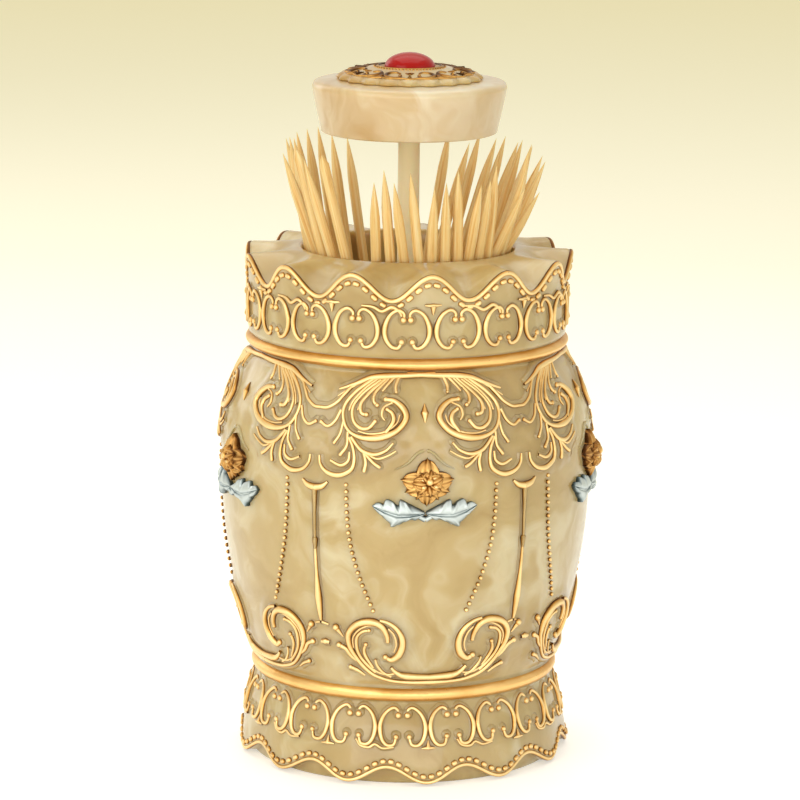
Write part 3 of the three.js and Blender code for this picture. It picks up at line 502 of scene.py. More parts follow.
def spline(points, spacing):
    """A smooth line through the points, sampled about evenly."""
    points = np.asarray(points, float)
    if len(points) == 2:
        count = max(2, int(np.linalg.norm(points[1] - points[0]) / spacing) + 1)
        return points[0] + np.linspace(0, 1, count)[:, None] * (points[1] - points[0])
    longer = np.vstack([2 * points[0] - points[1], points, 2 * points[-1] - points[-2]])
    line = []
    for i in range(1, len(points)):
        a, b, c, d = longer[i - 1:i + 3]
        count = max(2, int(math.ceil(np.linalg.norm(c[:2] - b[:2]) / spacing)))
        for t in np.arange(count) / count:
            line.append(0.5 * (2 * b + (c - a) * t + (2 * a - 5 * b + 4 * c - d) * t ** 2
                               + (3 * b - a - 3 * c + d) * t ** 3))
    return np.array(line + [points[-1]])


def padded(profile):
    """The profile's points with no reach out or up where they give none."""
    return np.array([list(point) + [0] * (4 - len(point)) for point in profile], float)


def grid(profile, segments):
    """A flat grid mesh whose rows are the profile's points and whose columns are turns."""
    profile = padded(profile)
    rows, columns = len(profile), segments + 1
    turn = np.repeat(np.arange(columns) * 2 * math.pi / segments, rows)
    vertices = np.zeros((rows * columns, 3))
    vertices[:, 0] = turn
    vertices[:, 1] = np.tile(np.arange(rows), columns)
    i, j = np.meshgrid(np.arange(segments), np.arange(rows - 1), indexing="ij")
    a = (i * rows + j).ravel()
    faces = np.stack([a, a + rows, a + rows + 1, a + 1], 1)
    mesh = bpy.data.meshes.new("grid")
    mesh.from_pydata(vertices, [], faces.tolist())
    for k, name in enumerate(("radius", "height", "out", "up")):
        set_field(mesh, name, np.tile(profile[:, k] * MM, columns))
    set_field(mesh, "turn", turn)
    return mesh


def turned(name, mesh, material, lobes=0, azimuth=0.0):
    """A grid whose profile runs from the underside outwards and up, turned about the Z axis."""
    return finished(name, mesh, TURNED, {
        "Lobes": float(lobes), "Lobe azimuth": math.radians(azimuth), "Weld": WELD * MM,
        "Material": material})


def bow(bottom, top, radius, rise, count=12, power=0.7):
    """A half-round ring's profile, from its lower edge to its upper edge."""
    shares = np.linspace(0, 1, count)
    return [(radius + rise * math.sin(math.pi * s) ** power if 0 < s < 1 else radius,
             bottom + (top - bottom) * s) for s in shares]


def belly_radius(height):
    """The belly is fullest above its middle and draws in to the waist and to the neck."""
    if height < BELLY_WIDEST:
        away = (BELLY_WIDEST - height) / (BELLY_WIDEST - BELLY_BOTTOM)
        return BELLY_RADIUS - (BELLY_RADIUS - WAIST_RADIUS) * min(away, 1) ** 2.1
    away = (height - BELLY_WIDEST) / (BELLY_TOP - BELLY_WIDEST)
    return BELLY_RADIUS - (BELLY_RADIUS - NECK_RADIUS) * min(away, 1) ** 2.7


# Skirt and collar: radius, height, and the lobes' reach out and up
SKIRT = [
    (PLINTH_RADIUS, 0.4, 0, 0), (PLINTH_RADIUS, HEM_EDGE - 0.3, 0, -HEM_WAVE),
    (HEM_RADIUS - 0.5, HEM_EDGE, HEM_LOBE, -HEM_WAVE),
    (HEM_RADIUS, HEM_EDGE + 0.8, HEM_LOBE, -HEM_WAVE),
    (HEM_RADIUS - 0.1, 4.6, HEM_LOBE * 0.8, -HEM_WAVE * 0.6),
    (HEM_RADIUS - 0.7, 7.8, HEM_LOBE * 0.3, 0), (31.7, 12.0, 0, 0), (30.5, 15.4, 0, 0),
    (WAIST_RADIUS, HEM_HEIGHT, 0, 0),
]
COLLAR = [
    (COLLAR_RADIUS, UPPER_RING[1], 0, 0), (COLLAR_RADIUS, 93.4, 0, 0),
    (COLLAR_RADIUS + 0.15, 96.5, RIM_LOBE * 0.3, RIM_WAVE * 0.3),
    (RIM_RADIUS, RIM_EDGE, RIM_LOBE, RIM_WAVE),
    (RIM_RADIUS - 0.25, RIM_EDGE + 0.65, RIM_LOBE, RIM_WAVE),
    (RIM_RADIUS - RIM_LIP, RIM_EDGE + RIM_LIP, RIM_LOBE, RIM_WAVE),
]
TOP = [
    (28.6, 102.0, RIM_LOBE * 0.6, RIM_WAVE * 0.6), (25.5, 103.2, RIM_LOBE * 0.2, RIM_WAVE * 0.22),
    (CREST_RADIUS, RIM_HEIGHT, 0, 0), (MOUTH_RADIUS + 0.6, RIM_HEIGHT, 0, 0),
    (MOUTH_RADIUS + 0.15, RIM_HEIGHT - 0.6, 0, 0), (MOUTH_RADIUS, RIM_HEIGHT - 1.2, 0, 0),
]


def pot_profile():
    """The wall's outside from the table up, over the rim, and its inside back down."""
    outside = [(BASE_OPENING, 0), (PLINTH_RADIUS - 0.3, 0)]
    outside += list(spline(SKIRT, 0.7))
    outside += bow(*LOWER_RING[:2], WAIST_RADIUS, LOWER_RING[2] - RING_GILDING)[1:-1]
    belly = np.linspace(BELLY_BOTTOM, BELLY_TOP, 112)
    outside += [(belly_radius(h), h) for h in belly]
    outside += bow(*UPPER_RING[:2], NECK_RADIUS, UPPER_RING[2] - RING_GILDING)[1:-1]
    outside += list(spline(COLLAR, 0.6))
    outside += list(spline(TOP, 0.6))
    inside = [(THROAT_RADIUS, RIM_HEIGHT - THROAT_DEPTH)]
    inside += [(belly_radius(h) - WALL, h) for h in np.linspace(BELLY_TOP, BELLY_BOTTOM, 12)]
    inside += [(LEDGE_RADIUS, LEDGE_HIGH), (LEDGE_RADIUS, LEDGE_LOW), (BASE_OPENING, LEDGE_LOW),
               (BASE_OPENING, 0)]
    return outside + inside


# Surface of the pot, for what lies on it
SURFACE = np.array(
    list(spline(SKIRT[3:], 0.7))
    + [(belly_radius(h), h, 0, 0) for h in np.linspace(BELLY_BOTTOM, BELLY_TOP, 60)]
    + list(spline(COLLAR[:4], 0.6)))


def on_pot(across, height, proud, azimuth=0.0):
    """A point on the pot: millimetres along the girth from the azimuth, height, and how proud."""
    base = np.interp(height, SURFACE[:, 1], SURFACE[:, 0])
    lobe = np.interp(height, SURFACE[:, 1], SURFACE[:, 2])
    turn = math.radians(azimuth) + across / base
    radius = base + lobe * math.cos(LOBES * (turn - math.radians(LOBE_AZIMUTH))) + proud
    return np.array([radius * math.sin(turn), -radius * math.cos(turn), height]) * MM


# Scrollwork. A stroke is (points, thicknesses from its first point to its last, ball). Its points
# are millimetres across from the motif's axis and heights above the table, chosen on the motif's
# right half; the left half mirrors them. The ball sits on the first point.
GARLAND = [
    ([(20.6, 83.4), (14.3, 83.1), (11.3, 82.9), (8.6, 82.5), (6.4, 81.5), (4.4, 80.7), (3.0, 80.2)],
     [0.5, 0.55, 0.75, 0.6, 0.25], 0),
    ([(12.6, 78.8), (14.4, 78.5), (16.4, 77.1), (17.2, 75.3), (15.8, 73.0), (12.9, 71.7),
      (9.4, 71.5), (6.6, 72.6), (5.1, 74.9), (4.9, 77.4), (6.4, 79.9), (9.0, 82.3)],
     [0.42, 0.7, 0.6, 0.75, 0.4, 0.35, 0.4, 0.5], 0.6),
    ([(11.4, 74.7), (10.4, 73.4), (8.8, 73.3), (7.2, 74.6), (6.6, 77.2), (8.0, 79.8), (10.6, 82.3)],
     [0.4, 0.42, 0.34, 0.3, 0.4], 0.5),
    ([(9.5, 75.9), (8.5, 76.1), (8.0, 77.8), (9.0, 79.6), (11.3, 82.3)], [0.4, 0.4, 0.3, 0.4], 0.55),
    ([(11.2, 77.7), (10.4, 78.4), (10.3, 80.0), (12.0, 82.5)], [0.36, 0.34, 0.34], 0.5),
    ([(14.2, 80.2), (13.8, 81.3), (13.9, 82.9)], [0.3, 0.4], 0.36),
    ([(13.3, 77.0), (14.5, 76.2), (14.9, 74.7), (13.8, 72.6)], [0.36, 0.5, 0.4], 0.46),
    ([(0, 76.6), (1.5, 76.7), (3.2, 77.8), (4.2, 79.2), (5.4, 80.9)], [0.36, 0.36, 0.4], 0),
    ([(0.6, 73.9), (2.1, 73.2), (3.5, 74.3), (4.3, 76.4)], [0.34, 0.34, 0.34], 0.46),
    ([(3.9, 70.2), (4.9, 72.0), (5.2, 74.4)], [0.36, 0.3, 0.3], 0.42),
    ([(5.4, 68.0), (6.5, 69.8), (6.4, 72.4)], [0.4, 0.34, 0.3], 0.46),
    ([(15.4, 70.6), (14.2, 69.2), (12.0, 68.4), (9.5, 69.1), (7.2, 71.5)], [0.24, 0.46, 0.36], 0.3),
    ([(13.2, 66.0), (12.0, 66.8), (10.2, 68.5)], [0.4, 0.36, 0.3], 0.42),
    ([(10.3, 65.1), (10.5, 66.8), (9.9, 68.9)], [0.42, 0.36, 0.3], 0.42),
    ([(1.0, 67.5), (1.3, 65.8), (2.8, 64.3), (5.3, 63.9), (7.6, 65.1), (8.2, 67.0), (7.8, 69.4),
      (6.8, 71.4)], [0.26, 0.4, 0.55, 0.46, 0.34, 0.34], 0),
    ([(3.4, 66.7), (5.5, 65.9), (7.0, 66.8), (7.2, 68.6)], [0.26, 0.4, 0.28], 0),
    ([(15.9, 76.0), (15.6, 74.4), (13.4, 72.7), (10.6, 72.3), (8.4, 72.7)], [0.2, 0.3, 0.2], 0),
    ([(5.9, 76.4), (6.4, 78.3), (8.2, 80.8), (10.2, 82.6)], [0.2, 0.28, 0.4], 0),
    ([(7.6, 76.6), (8.2, 78.6), (9.6, 80.6), (11.6, 82.7)], [0.2, 0.28, 0.4], 0),
    ([(11.6, 80.4), (12.2, 81.5), (13.0, 82.8)], [0.26, 0.4], 0.3),
    ([(13.9, 78.2), (12.6, 77.4), (12.5, 75.9), (13.3, 74.9)], [0.22, 0.34, 0.2], 0.34),
    ([(3.0, 78.9), (4.6, 80.1), (6.2, 81.2), (8.0, 82.2)], [0.16, 0.3, 0.4], 0),
    ([(16.2, 69.2), (14.6, 68.2), (12.6, 67.6), (10.4, 68.6)], [0.2, 0.3, 0.2], 0),
]
DROP = [
    ([(0, 60.9), (1.6, 61.3), (2.8, 62.3)], [0.75, 0.6, 0.24], 0),
    ([(0, 61.2), (0, 54.0), (0, 50.6)], [0.6, 0.34, 0.3], 0),
    ([(0, 50.4), (0, 48.4)], [0.6, 0.3], 0.6),
    ([(0, 49.0), (0, 43.0), (0.1, 36.5), (0, 33.4)], [0.3, 0.36, 0.66, 0.34], 0),
    ([(0.2, 33.0), (1.6, 32.6)], [0.3, 0.24], 0),
]
SCROLLS = [
    ([(12.8, 30.0), (12.8, 31.2), (12.1, 33.0), (10.5, 34.0), (8.2, 33.8), (6.3, 32.7), (5.1, 30.8),
      (5.1, 28.4), (6.0, 26.2), (7.2, 24.2), (8.7, 22.6), (10.5, 21.7), (12.8, 21.1), (15.8, 20.9),
      (19.6, 20.9)], [0.46, 0.8, 0.7, 0.5, 0.42, 0.42, 0.55], 0.5),
    ([(11.9, 26.5), (12.9, 25.9), (14.5, 27.0), (15.5, 29.0), (15.6, 31.0), (14.8, 32.8),
      (13.4, 34.0), (11.8, 34.5)], [0.46, 0.8, 0.7, 0.5, 0.34], 0.65),
    ([(9.4, 32.2), (8.0, 31.8), (6.8, 30.5), (6.5, 28.2), (7.0, 26.2), (8.1, 24.5), (9.4, 23.0)],
     [0.36, 0.4, 0.34], 0.46),
    ([(8.4, 29.1), (7.9, 27.9), (8.0, 26.5), (9.1, 24.0)], [0.36, 0.4, 0.3], 0.5),
    ([(9.8, 25.9), (10.0, 24.5), (10.9, 23.0), (12.3, 22.1)], [0.24, 0.34, 0.3], 0),
    ([(12.6, 24.2), (13.4, 23.1), (15.0, 22.3), (19.6, 22.0)], [0.3, 0.75, 0.6], 0),
    ([(2.9, 28.5), (4.2, 27.8), (5.2, 26.2), (6.8, 24.9)], [0.5, 0.44, 0.3], 0.65),
    ([(2.7, 32.3), (4.0, 30.4)], [0.6, 0.16], 0.75),
    ([(0.1, 28.9), (0.9, 28.8)], [0.5, 0.4], 0.6),
    ([(4.6, 23.8), (5.9, 23.2), (7.2, 22.2)], [0.46, 0.4, 0.24], 0.55),
    ([(11.4, 33.2), (9.4, 33.2), (7.4, 32.2), (6.0, 30.4), (5.8, 28.2)], [0.16, 0.3, 0.2], 0),
    ([(13.7, 27.6), (14.4, 29.4), (14.2, 31.4), (13.2, 32.8)], [0.16, 0.3, 0.2], 0),
    ([(8.6, 24.0), (10.2, 22.9), (12.2, 22.6), (14.0, 23.2)], [0.2, 0.3, 0.16], 0),
]
COLLAR_FRIEZE = [
    ([(0.7, 94.3), (0.6, 95.5), (1.7, 96.2), (3.3, 95.2), (4.3, 92.9), (4.2, 90.7), (3.1, 89.0),
      (1.7, 88.7), (1.0, 90.0)], [0.36, 0.44, 0.62, 0.5, 0.36], 0.72),
    ([(1.05, 89.9), (1.1, 89.7)], [0.3, 0.3], 0.66),
]
COLLAR_LINKS = [
    ([(-1.7, 97.2), (0, 97.1), (1.7, 97.2)], [0.18, 0.5, 0.18], 0),
    ([(0, 97.0), (0, 95.2)], [0.75, 0.12], 0),
]
COLLAR_BRACKETS = [
    ([(-3.9, 96.9), (-1.6, 96.7), (0.2, 95.9), (2.1, 96.8), (3.5, 96.0), (4.0, 95.0)],
     [0.24, 0.4, 0.46, 0.3], 0),
]
SKIRT_FRIEZE = [
    ([(0.9, 14.0), (1.0, 15.0), (2.0, 15.4), (3.6, 14.2), (4.5, 12.0), (4.2, 9.6), (3.2, 8.3),
      (1.8, 8.4), (1.3, 9.9)], [0.34, 0.42, 0.58, 0.46, 0.34], 0.7),
    ([(1.3, 9.9), (1.3, 9.8)], [0.3, 0.3], 0.62),
]
SKIRT_LINKS = [
    ([(-1.4, 7.6), (0, 7.7), (1.4, 7.6)], [0.16, 0.5, 0.16], 0),
    ([(0, 7.8), (0, 9.2)], [0.6, 0.12], 0),
]
SKIRT_BRACKETS = [
    ([(-4.2, 9.0), (-3.4, 7.9), (-1.6, 7.6), (-0.4, 8.3), (1.2, 7.6), (3.4, 7.9)],
     [0.22, 0.34, 0.3, 0.24], 0.3),
]

# Ribs and the beds under them: points' spacing, margin, rise and sink, and sides of a section
STROKE_STEP = 0.34
BED_STEP = 0.6
BED_MARGIN = 0.72
BED_RISE = 0.38
RIB_SINK = 0.1
RIB_SIDES = 7
FINE_SIDES = 6
BEAD_SIDES = 5
BED_SIDES = 14
FRIEZE_BED_SIDES = 12
WIRE_SIDES = 14


class Lines:
    """Strokes gathered as chains of points, each with a thickness and a ball."""

    def __init__(self, step=STROKE_STEP, weight=1.0):
        self.points, self.edges, self.thickness, self.ball = [], [], [], []
        self.step, self.weight = step, weight

    def add(self, points, thicknesses, ball, surface):
        line = spline(points, self.step)
        shares = np.linspace(0, 1, len(line))
        thick = np.interp(shares, np.linspace(0, 1, len(thicknesses)), thicknesses) * self.weight
        first = len(self.points)
        for k, (point, width) in enumerate(zip(line, thick)):
            self.points.append(surface(point[0], point[1], width))
            self.thickness.append(width * MM)
            self.ball.append(ball * MM if k == 0 else 0)
            if k:
                self.edges.append((first + k - 1, first + k))

    def mesh(self):
        mesh = bpy.data.meshes.new("lines")
        mesh.from_pydata(self.points, self.edges, [])
        set_field(mesh, "thickness", self.thickness)
        set_field(mesh, "ball", self.ball)
        return mesh


BOTH_SIDES = (1, -1)


def motif(lines, strokes, azimuth=0.0, sides=BOTH_SIDES, ground=0.0, margin=0.0, sink=RIB_SINK):
    """The strokes on the pot, mirrored about the azimuth where two sides are given."""
    for side in sides:
        for points, thicknesses, ball in strokes:
            lines.add([(side * x, z) for x, z in points], [wide + margin for wide in thicknesses],
                      ball and ball + margin, lambda x, z, width:
                      on_pot(x, z, ground + BED_RISE - sink * width, azimuth))


def carved(parts, weight=1.0):
    """Ribs for the parts of a motif, and the swell of resin, mostly sunk, that carries them."""
    ribs, swell = Lines(weight=weight), Lines(BED_STEP)
    for strokes, azimuth, sides, ground in parts:
        motif(ribs, strokes, azimuth, sides, ground)
        motif(swell, strokes, azimuth, sides, ground, BED_MARGIN, 1.0)
    return ribs, swell


def relief(name, lines, copies, first, spacing, material, sides=RIB_SIDES,
           tied=("pot", "cast_resin")):
    """The lines as ribs, repeated round the object from the first azimuth on."""
    piece = finished(name, lines.mesh(), RELIEF, {
        "Sides": sides, "Copies": copies, "First": math.radians(first),
        "Spacing": math.radians(spacing), "Material": material})
    fit(piece, *tied)
    return piece


# Pot casting: the resin swells under the scrollwork, and painted shade with a little gold wash darkens
# it there
GROUND = 0.4
GROUND_CORE = 1.3
GROUND_REACH = 3.2
GROUND_FADE_LOW = 2.0
GROUND_FADE_HIGH = 1.5
SHADE_AND_WASH_SHARE = 0.22


def scroll_points():
    """Points along the belly's scrollwork all round the pot, without its rise."""
    flat = Lines(0.8)
    garlands = [GARLAND_FRONT_AZIMUTH + GARLAND_FRONT_SPACING * k for k in range(2)]
    garlands += [GARLAND_BACK_AZIMUTH + GARLAND_BACK_SPACING * k for k in range(3)]
    for azimuth in garlands:
        motif(flat, GARLAND, azimuth)
    for k in range(PANELS):
        motif(flat, SCROLLS, SCROLL_AZIMUTH + PANEL_SPACING * k)
    return flat.points


def pot_casting():
    """The pot's wall, swollen where its scrollwork is near, and darkened there with painted shade and
    a little gold wash.
    """
    profile = pot_profile()
    segments = LOBES * POT_LOBE_COLUMNS
    mesh = grid(profile, segments)
    rows = len(profile)
    base = padded(profile)
    scrolls = scroll_points()
    tree = kdtree.KDTree(len(scrolls))
    for i, point in enumerate(scrolls):
        tree.insert(point, i)
    tree.balance()
    radius = np.tile(base[:, 0] * MM, segments + 1).reshape(segments + 1, rows)
    shade_and_wash = np.zeros_like(radius)
    belly = [j for j in range(rows) if abs(base[j, 0] - belly_radius(base[j, 1])) < 0.01
             and BELLY_BOTTOM < base[j, 1] < BELLY_TOP]
    for i in range(segments + 1):
        turn = 2 * math.pi * i / segments
        for j in belly:
            r = base[j, 0] * MM
            spot = (r * math.sin(turn), -r * math.cos(turn), base[j, 1] * MM)
            distance = tree.find(spot)[2] / MM
            near = min(1.0, max(0.0, (GROUND_REACH - distance) / (GROUND_REACH - GROUND_CORE)))
            edge = min(1.0, (base[j, 1] - BELLY_BOTTOM) / GROUND_FADE_LOW,
                       (BELLY_TOP - base[j, 1]) / GROUND_FADE_HIGH)
            radius[i, j] += GROUND * MM * edge * near * near * (3 - 2 * near)
            # Painted shade near the scrollwork, with a little gold wash
            shade_and_wash[i, j] = SHADE_AND_WASH_SHARE * near
    mesh.attributes["radius"].data.foreach_set("value", radius.ravel())
    set_field(mesh, "shade_and_wash", shade_and_wash.ravel())
    fit(turned("pot_casting", mesh, RESIN, LOBES, LOBE_AZIMUTH), "pot", "cast_resin", "pot_body")


pot_casting()


def gold_ring(name, ring, radius):
    """A worn gold ring over a half-round bead of the casting, with painted highlight on its crest and
    painted shade at its edges.
    """
    bottom, top, rise = ring
    low, high = bottom + RING_INSET, top - RING_INSET
    profile = bow(low, high, radius, rise, 14)
    profile = [(radius - RING_SINK, low)] + profile + [(radius - RING_SINK, high)]
    mesh = grid(profile + profile[:1], LOBES * RING_LOBE_COLUMNS)
    fit(turned(name, mesh, RING_GOLD), "pot", "cast_resin")


gold_ring("lower_gold_ring", LOWER_RING, WAIST_RADIUS)
gold_ring("upper_gold_ring", UPPER_RING, NECK_RADIUS)


# Relief on the belly
GARLAND_RINGS = (("front", 2, GARLAND_FRONT_AZIMUTH, GARLAND_FRONT_SPACING),
                 ("back", 3, GARLAND_BACK_AZIMUTH, GARLAND_BACK_SPACING))


def garlands():
    ribs, swell = carved([(GARLAND, 0, BOTH_SIDES, GROUND), (DROP, 0, BOTH_SIDES, 0)], 1.1)
    for suffix, copies, first, spacing in GARLAND_RINGS:
        relief("garlands_" + suffix, ribs, copies, first, spacing, GOLD)
        relief("garland_beds_" + suffix, swell, copies, first, spacing, BED_RESIN, BED_SIDES)


# Half of a garland's pair of bead strings, from its top: millimetres across and height
BEAD_STRING = [(6.6, 62.0), (6.8, 56), (7.4, 50), (8.8, 43.8), (9.7, 40.8), (11.2, 36.2)]
BEAD_RADIUS = 0.46
BEAD_PITCH = 1.38
BEAD_RISE = 0.2
# The friezes lie this much deeper in the wall than the drops do
FRIEZE_SINK = 0.12


def bead_strings():
    lines = Lines()
    for side in BOTH_SIDES:
        path = spline([(side * x, z) for x, z in BEAD_STRING], 0.1)
        run = np.concatenate([[0], np.cumsum(np.linalg.norm(np.diff(path, axis=0), axis=1))])
        for distance in np.arange(0, run[-1], BEAD_PITCH):
            x, z = np.interp(distance, run, path[:, 0]), np.interp(distance, run, path[:, 1])
            lines.add([(x, z), (x, z - 0.4)], [0.2, 0.2], BEAD_RADIUS,
                      lambda x, z, width: on_pot(x, z, BEAD_RISE))
    for suffix, copies, first, spacing in GARLAND_RINGS:
        relief("bead_strings_" + suffix, lines, copies, first, spacing, GOLD, BEAD_SIDES)


def lower_scrolls():
    ribs, swell = carved([(SCROLLS, 0, BOTH_SIDES, GROUND)], 1.05)
    relief("lower_scrolls", ribs, PANELS, SCROLL_AZIMUTH, PANEL_SPACING, GOLD)
    relief("lower_scroll_beds", swell, PANELS, SCROLL_AZIMUTH, PANEL_SPACING, BED_RESIN,
           BED_SIDES)


def frieze(name, unit, links, brackets):
    """Ten mirrored pairs of units, with a drop and a bracket between them in turn."""
    half, quarter = FRIEZE_SPACING / 2, FRIEZE_SPACING / 4
    parts = ((unit, -quarter, BOTH_SIDES), (unit, quarter, BOTH_SIDES), (links, half, (1,)),
             (brackets, 0, (1,)))
    ribs, swell = carved([part + (-FRIEZE_SINK,) for part in parts])
    place = FRIEZE_PAIRS, FRIEZE_AZIMUTH + half, FRIEZE_SPACING
    relief(name, ribs, *place, GOLD)
    relief(name + "_beds", swell, *place, BED_RESIN, FRIEZE_BED_SIDES)


garlands()
bead_strings()
lower_scrolls()
frieze("collar_frieze", COLLAR_FRIEZE, COLLAR_LINKS, COLLAR_BRACKETS)
frieze("skirt_frieze", SKIRT_FRIEZE, SKIRT_LINKS, SKIRT_BRACKETS)


# Wavy edges of the hem and the collar, with a row of beads or dashes beside each
def edge_point(azimuth, radius, height, out, up):
    """A point on a line that follows the lobes, which take it out and up."""
    turn = math.radians(azimuth)
    wave = math.cos(LOBES * (turn - math.radians(LOBE_AZIMUTH)))
    r = radius + out * wave
    return np.array([r * math.sin(turn), -r * math.cos(turn), height + up * wave]) * MM


def wavy_edges(name, edge, line, row, beads, length, thickness):
    """A gold line along the edge, and so many beads or dashes to a lobe in a row beside it."""
    lines = Lines()
    lobe = 360 / LOBES
    lines.add([(LOBE_AZIMUTH + lobe * s, 0) for s in np.linspace(0, 1, 49)],
              [line, line], 0, lambda a, _, width: edge_point(a, *edge))
    for k in range(beads):
        middle = LOBE_AZIMUTH + lobe * (k + 0.5) / beads
        half = math.degrees(length / 2 / row[0])
        for ends in ((middle - half, middle + half), (middle + half, middle - half)):
            lines.add([(ends[0], 0), (middle, 0), (ends[1], 0)], [thickness] * 2, thickness,
                      lambda a, _, width: edge_point(a, *row))
    relief(name, lines, LOBES, 0, lobe, GOLD)


wavy_edges("collar_edge", (RIM_RADIUS - 0.15, RIM_EDGE + 0.3, RIM_LOBE, RIM_WAVE), line=0.55,
           row=(RIM_RADIUS - 0.15, RIM_EDGE - 1.1, RIM_LOBE * 0.85, RIM_WAVE * 0.95),
           beads=9, length=0.5, thickness=0.58)
wavy_edges("hem_edge", (HEM_RADIUS - 0.2, HEM_EDGE + 0.25, HEM_LOBE, -HEM_WAVE), line=0.45,
           row=(HEM_RADIUS, HEM_EDGE + 1.45, HEM_LOBE, -HEM_WAVE),
           beads=10, length=0.3, thickness=0.56)


# Lid, rod and spring
def lid():
    """A puck with a rounded foot and shoulder, a slightly domed top and a socket for the rod."""
    foot = LID_RADIUS - LID_TAPER
    shoulder = LID_BOTTOM + LID_SHOULDER
    top = LID_BOTTOM + LID_FLAT
    curve = [(foot - 1.2, LID_BOTTOM), (foot - 0.25, LID_BOTTOM + 0.2), (foot, LID_BOTTOM + 1),
             (LID_RADIUS - LID_TAPER * 0.45, LID_BOTTOM + 5.2),
             (LID_RADIUS - LID_TAPER * 0.08, shoulder - 1.9), (LID_RADIUS, shoulder - 0.9),
             (LID_RADIUS - 0.4, shoulder - 0.1), (LID_RADIUS - 1.5, shoulder + 0.2),
             (ROSETTE_RADIUS + 0.8, top - 0.05), (ROSETTE_RADIUS - 0.7, top)]
    socket = ROD_RADIUS + SOCKET_GAP
    roof = LID_BOTTOM + SOCKET_TOP
    profile = [(0, roof), (socket, roof), (socket, LID_BOTTOM), *spline(curve, 0.4), (0, top)]
    mesh = grid(profile, LID_COLUMNS)
    fit(turned("lid_casting", mesh, LID_RESIN), "lift", "cast_resin", "lid")


def rosette():
    """A clear disc with a fluted skirt, a face that falls to its edge and a seat for the stone."""
    low = LID_BOTTOM + LID_FLAT + ROSETTE_GAP
    face, seat = low + FACE_RISE, low + SEAT_RISE
    skirt = [(ROSETTE_RADIUS - 0.3, low, 0.4), (ROSETTE_RADIUS - 0.1, low + 0.3, 0.45),
             (ROSETTE_RADIUS - 0.6, low + 0.85, 0.5), (EDGE_RADIUS + 0.55, low + EDGE_RISE - 0.1, 0.3),
             (EDGE_RADIUS, low + EDGE_RISE, 0.1), (BEZEL_RADIUS + 0.5, face, 0),
             (BEZEL_RADIUS, face, 0), (BEZEL_RADIUS - 0.5, face - 0.35, 0),
             (STONE_RADIUS + STONE_GAP, seat + 0.05, 0)]
    profile = [(0, low), *spline(padded(skirt), 0.25), (STONE_RADIUS + STONE_GAP, seat), (0, seat)]
    mesh = grid(profile, ROSETTE_FLUTES * FLUTE_COLUMNS)
    fit(turned("rosette_casting", mesh, CLEAR_RESIN, ROSETTE_FLUTES), "lift", "clear_resin",
        "lid_rosette")


# Right half of a pair of scrolls on the rosette's face: millimetres across and out from its axis
ROSETTE_SCROLLS = [
    ([(1.9, 10.9), (2.0, 11.8), (3.1, 12.2), (4.4, 11.3), (4.8, 9.9), (4.0, 8.7), (2.6, 8.6),
      (1.9, 9.5)], [0.26, 0.36, 0.44, 0.34, 0.26], 0.42),
    ([(5.5, 11.5), (5.9, 9.9), (5.3, 8.5)], [0.16, 0.34, 0.16], 0),
    ([(0, 12.6), (0, 10.6)], [0.5, 0.16], 0),
    ([(0.1, 9.9), (0.8, 9.2)], [0.4, 0.16], 0),
]
# Depth of the edge's scallops, thickness of its line, and what goes round the rosette
SCALLOP = 0.25
TRIM = 0.24
SCROLL_PAIRS = 6
BEZEL_ARCS = 12
BEZEL_BEADS = 60


def on_rosette(x, y, width):
    """A point on the rosette's face, which falls from the bezel to the edge."""
    share = (math.hypot(x, y) - BEZEL_RADIUS) / (EDGE_RADIUS - BEZEL_RADIUS)
    rise = FACE_RISE + (EDGE_RISE - FACE_RISE) * min(max(share, 0), 1.2)
    return np.array([x, -y, LID_BOTTOM + LID_FLAT + ROSETTE_GAP + rise + 0.1 * width]) * MM


def rosette_trim():
    """Scroll pairs on the rosette's face, the line round its scalloped edge and its bezel."""
    scrolls, edge, bezel, beads = Lines(), Lines(), Lines(), Lines()
    for side in BOTH_SIDES:
        for points, thicknesses, ball in ROSETTE_SCROLLS:
            scrolls.add([(side * x, y) for x, y in points], thicknesses, ball, on_rosette)
    for line, copies, count, reach, scallop in (
            (edge, ROSETTE_FLUTES, 13, EDGE_RADIUS, SCALLOP),
            (bezel, BEZEL_ARCS, 12, BEZEL_RADIUS + 0.1, 0)):
        turns = np.linspace(0, 2 * math.pi / copies, count)
        line.add([(t, 0) for t in turns], [TRIM, TRIM], 0, lambda t, _, width: on_rosette(
            (reach + scallop * math.cos(ROSETTE_FLUTES * t)) * math.sin(t),
            (reach + scallop * math.cos(ROSETTE_FLUTES * t)) * math.cos(t), width))
    beads.add([(0, 0), (0.01, 0)], [0.2, 0.2], 0.3,
              lambda x, y, width: on_rosette(x, BEZEL_RADIUS + 0.75, width))
    for name, lines, copies, sides in (
            ("rosette_scrolls", scrolls, SCROLL_PAIRS, RIB_SIDES),
            ("rosette_edge", edge, ROSETTE_FLUTES, FINE_SIDES),
            ("bezel_line", bezel, BEZEL_ARCS, FINE_SIDES),
            ("bezel_beads", beads, BEZEL_BEADS, BEAD_SIDES)):
        relief(name, lines, copies, 0, 360 / copies, BRONZE, sides, ("lift", "clear_resin"))


def stone():
    low, high = span("gem")
    girdle = low + STONE_GIRDLE * (high - low)
    dome = [(STONE_RADIUS * math.cos(a), girdle + (high - girdle) * math.sin(a))
            for a in np.linspace(0, math.pi / 2, 20)[:-1]]
    profile = [(0, low), (STONE_RADIUS * 0.96, low), *dome, (0, high)]
    fit(turned("cabochon", grid(profile, STONE_COLUMNS), STONE), "lift", "red_gem", "gem")


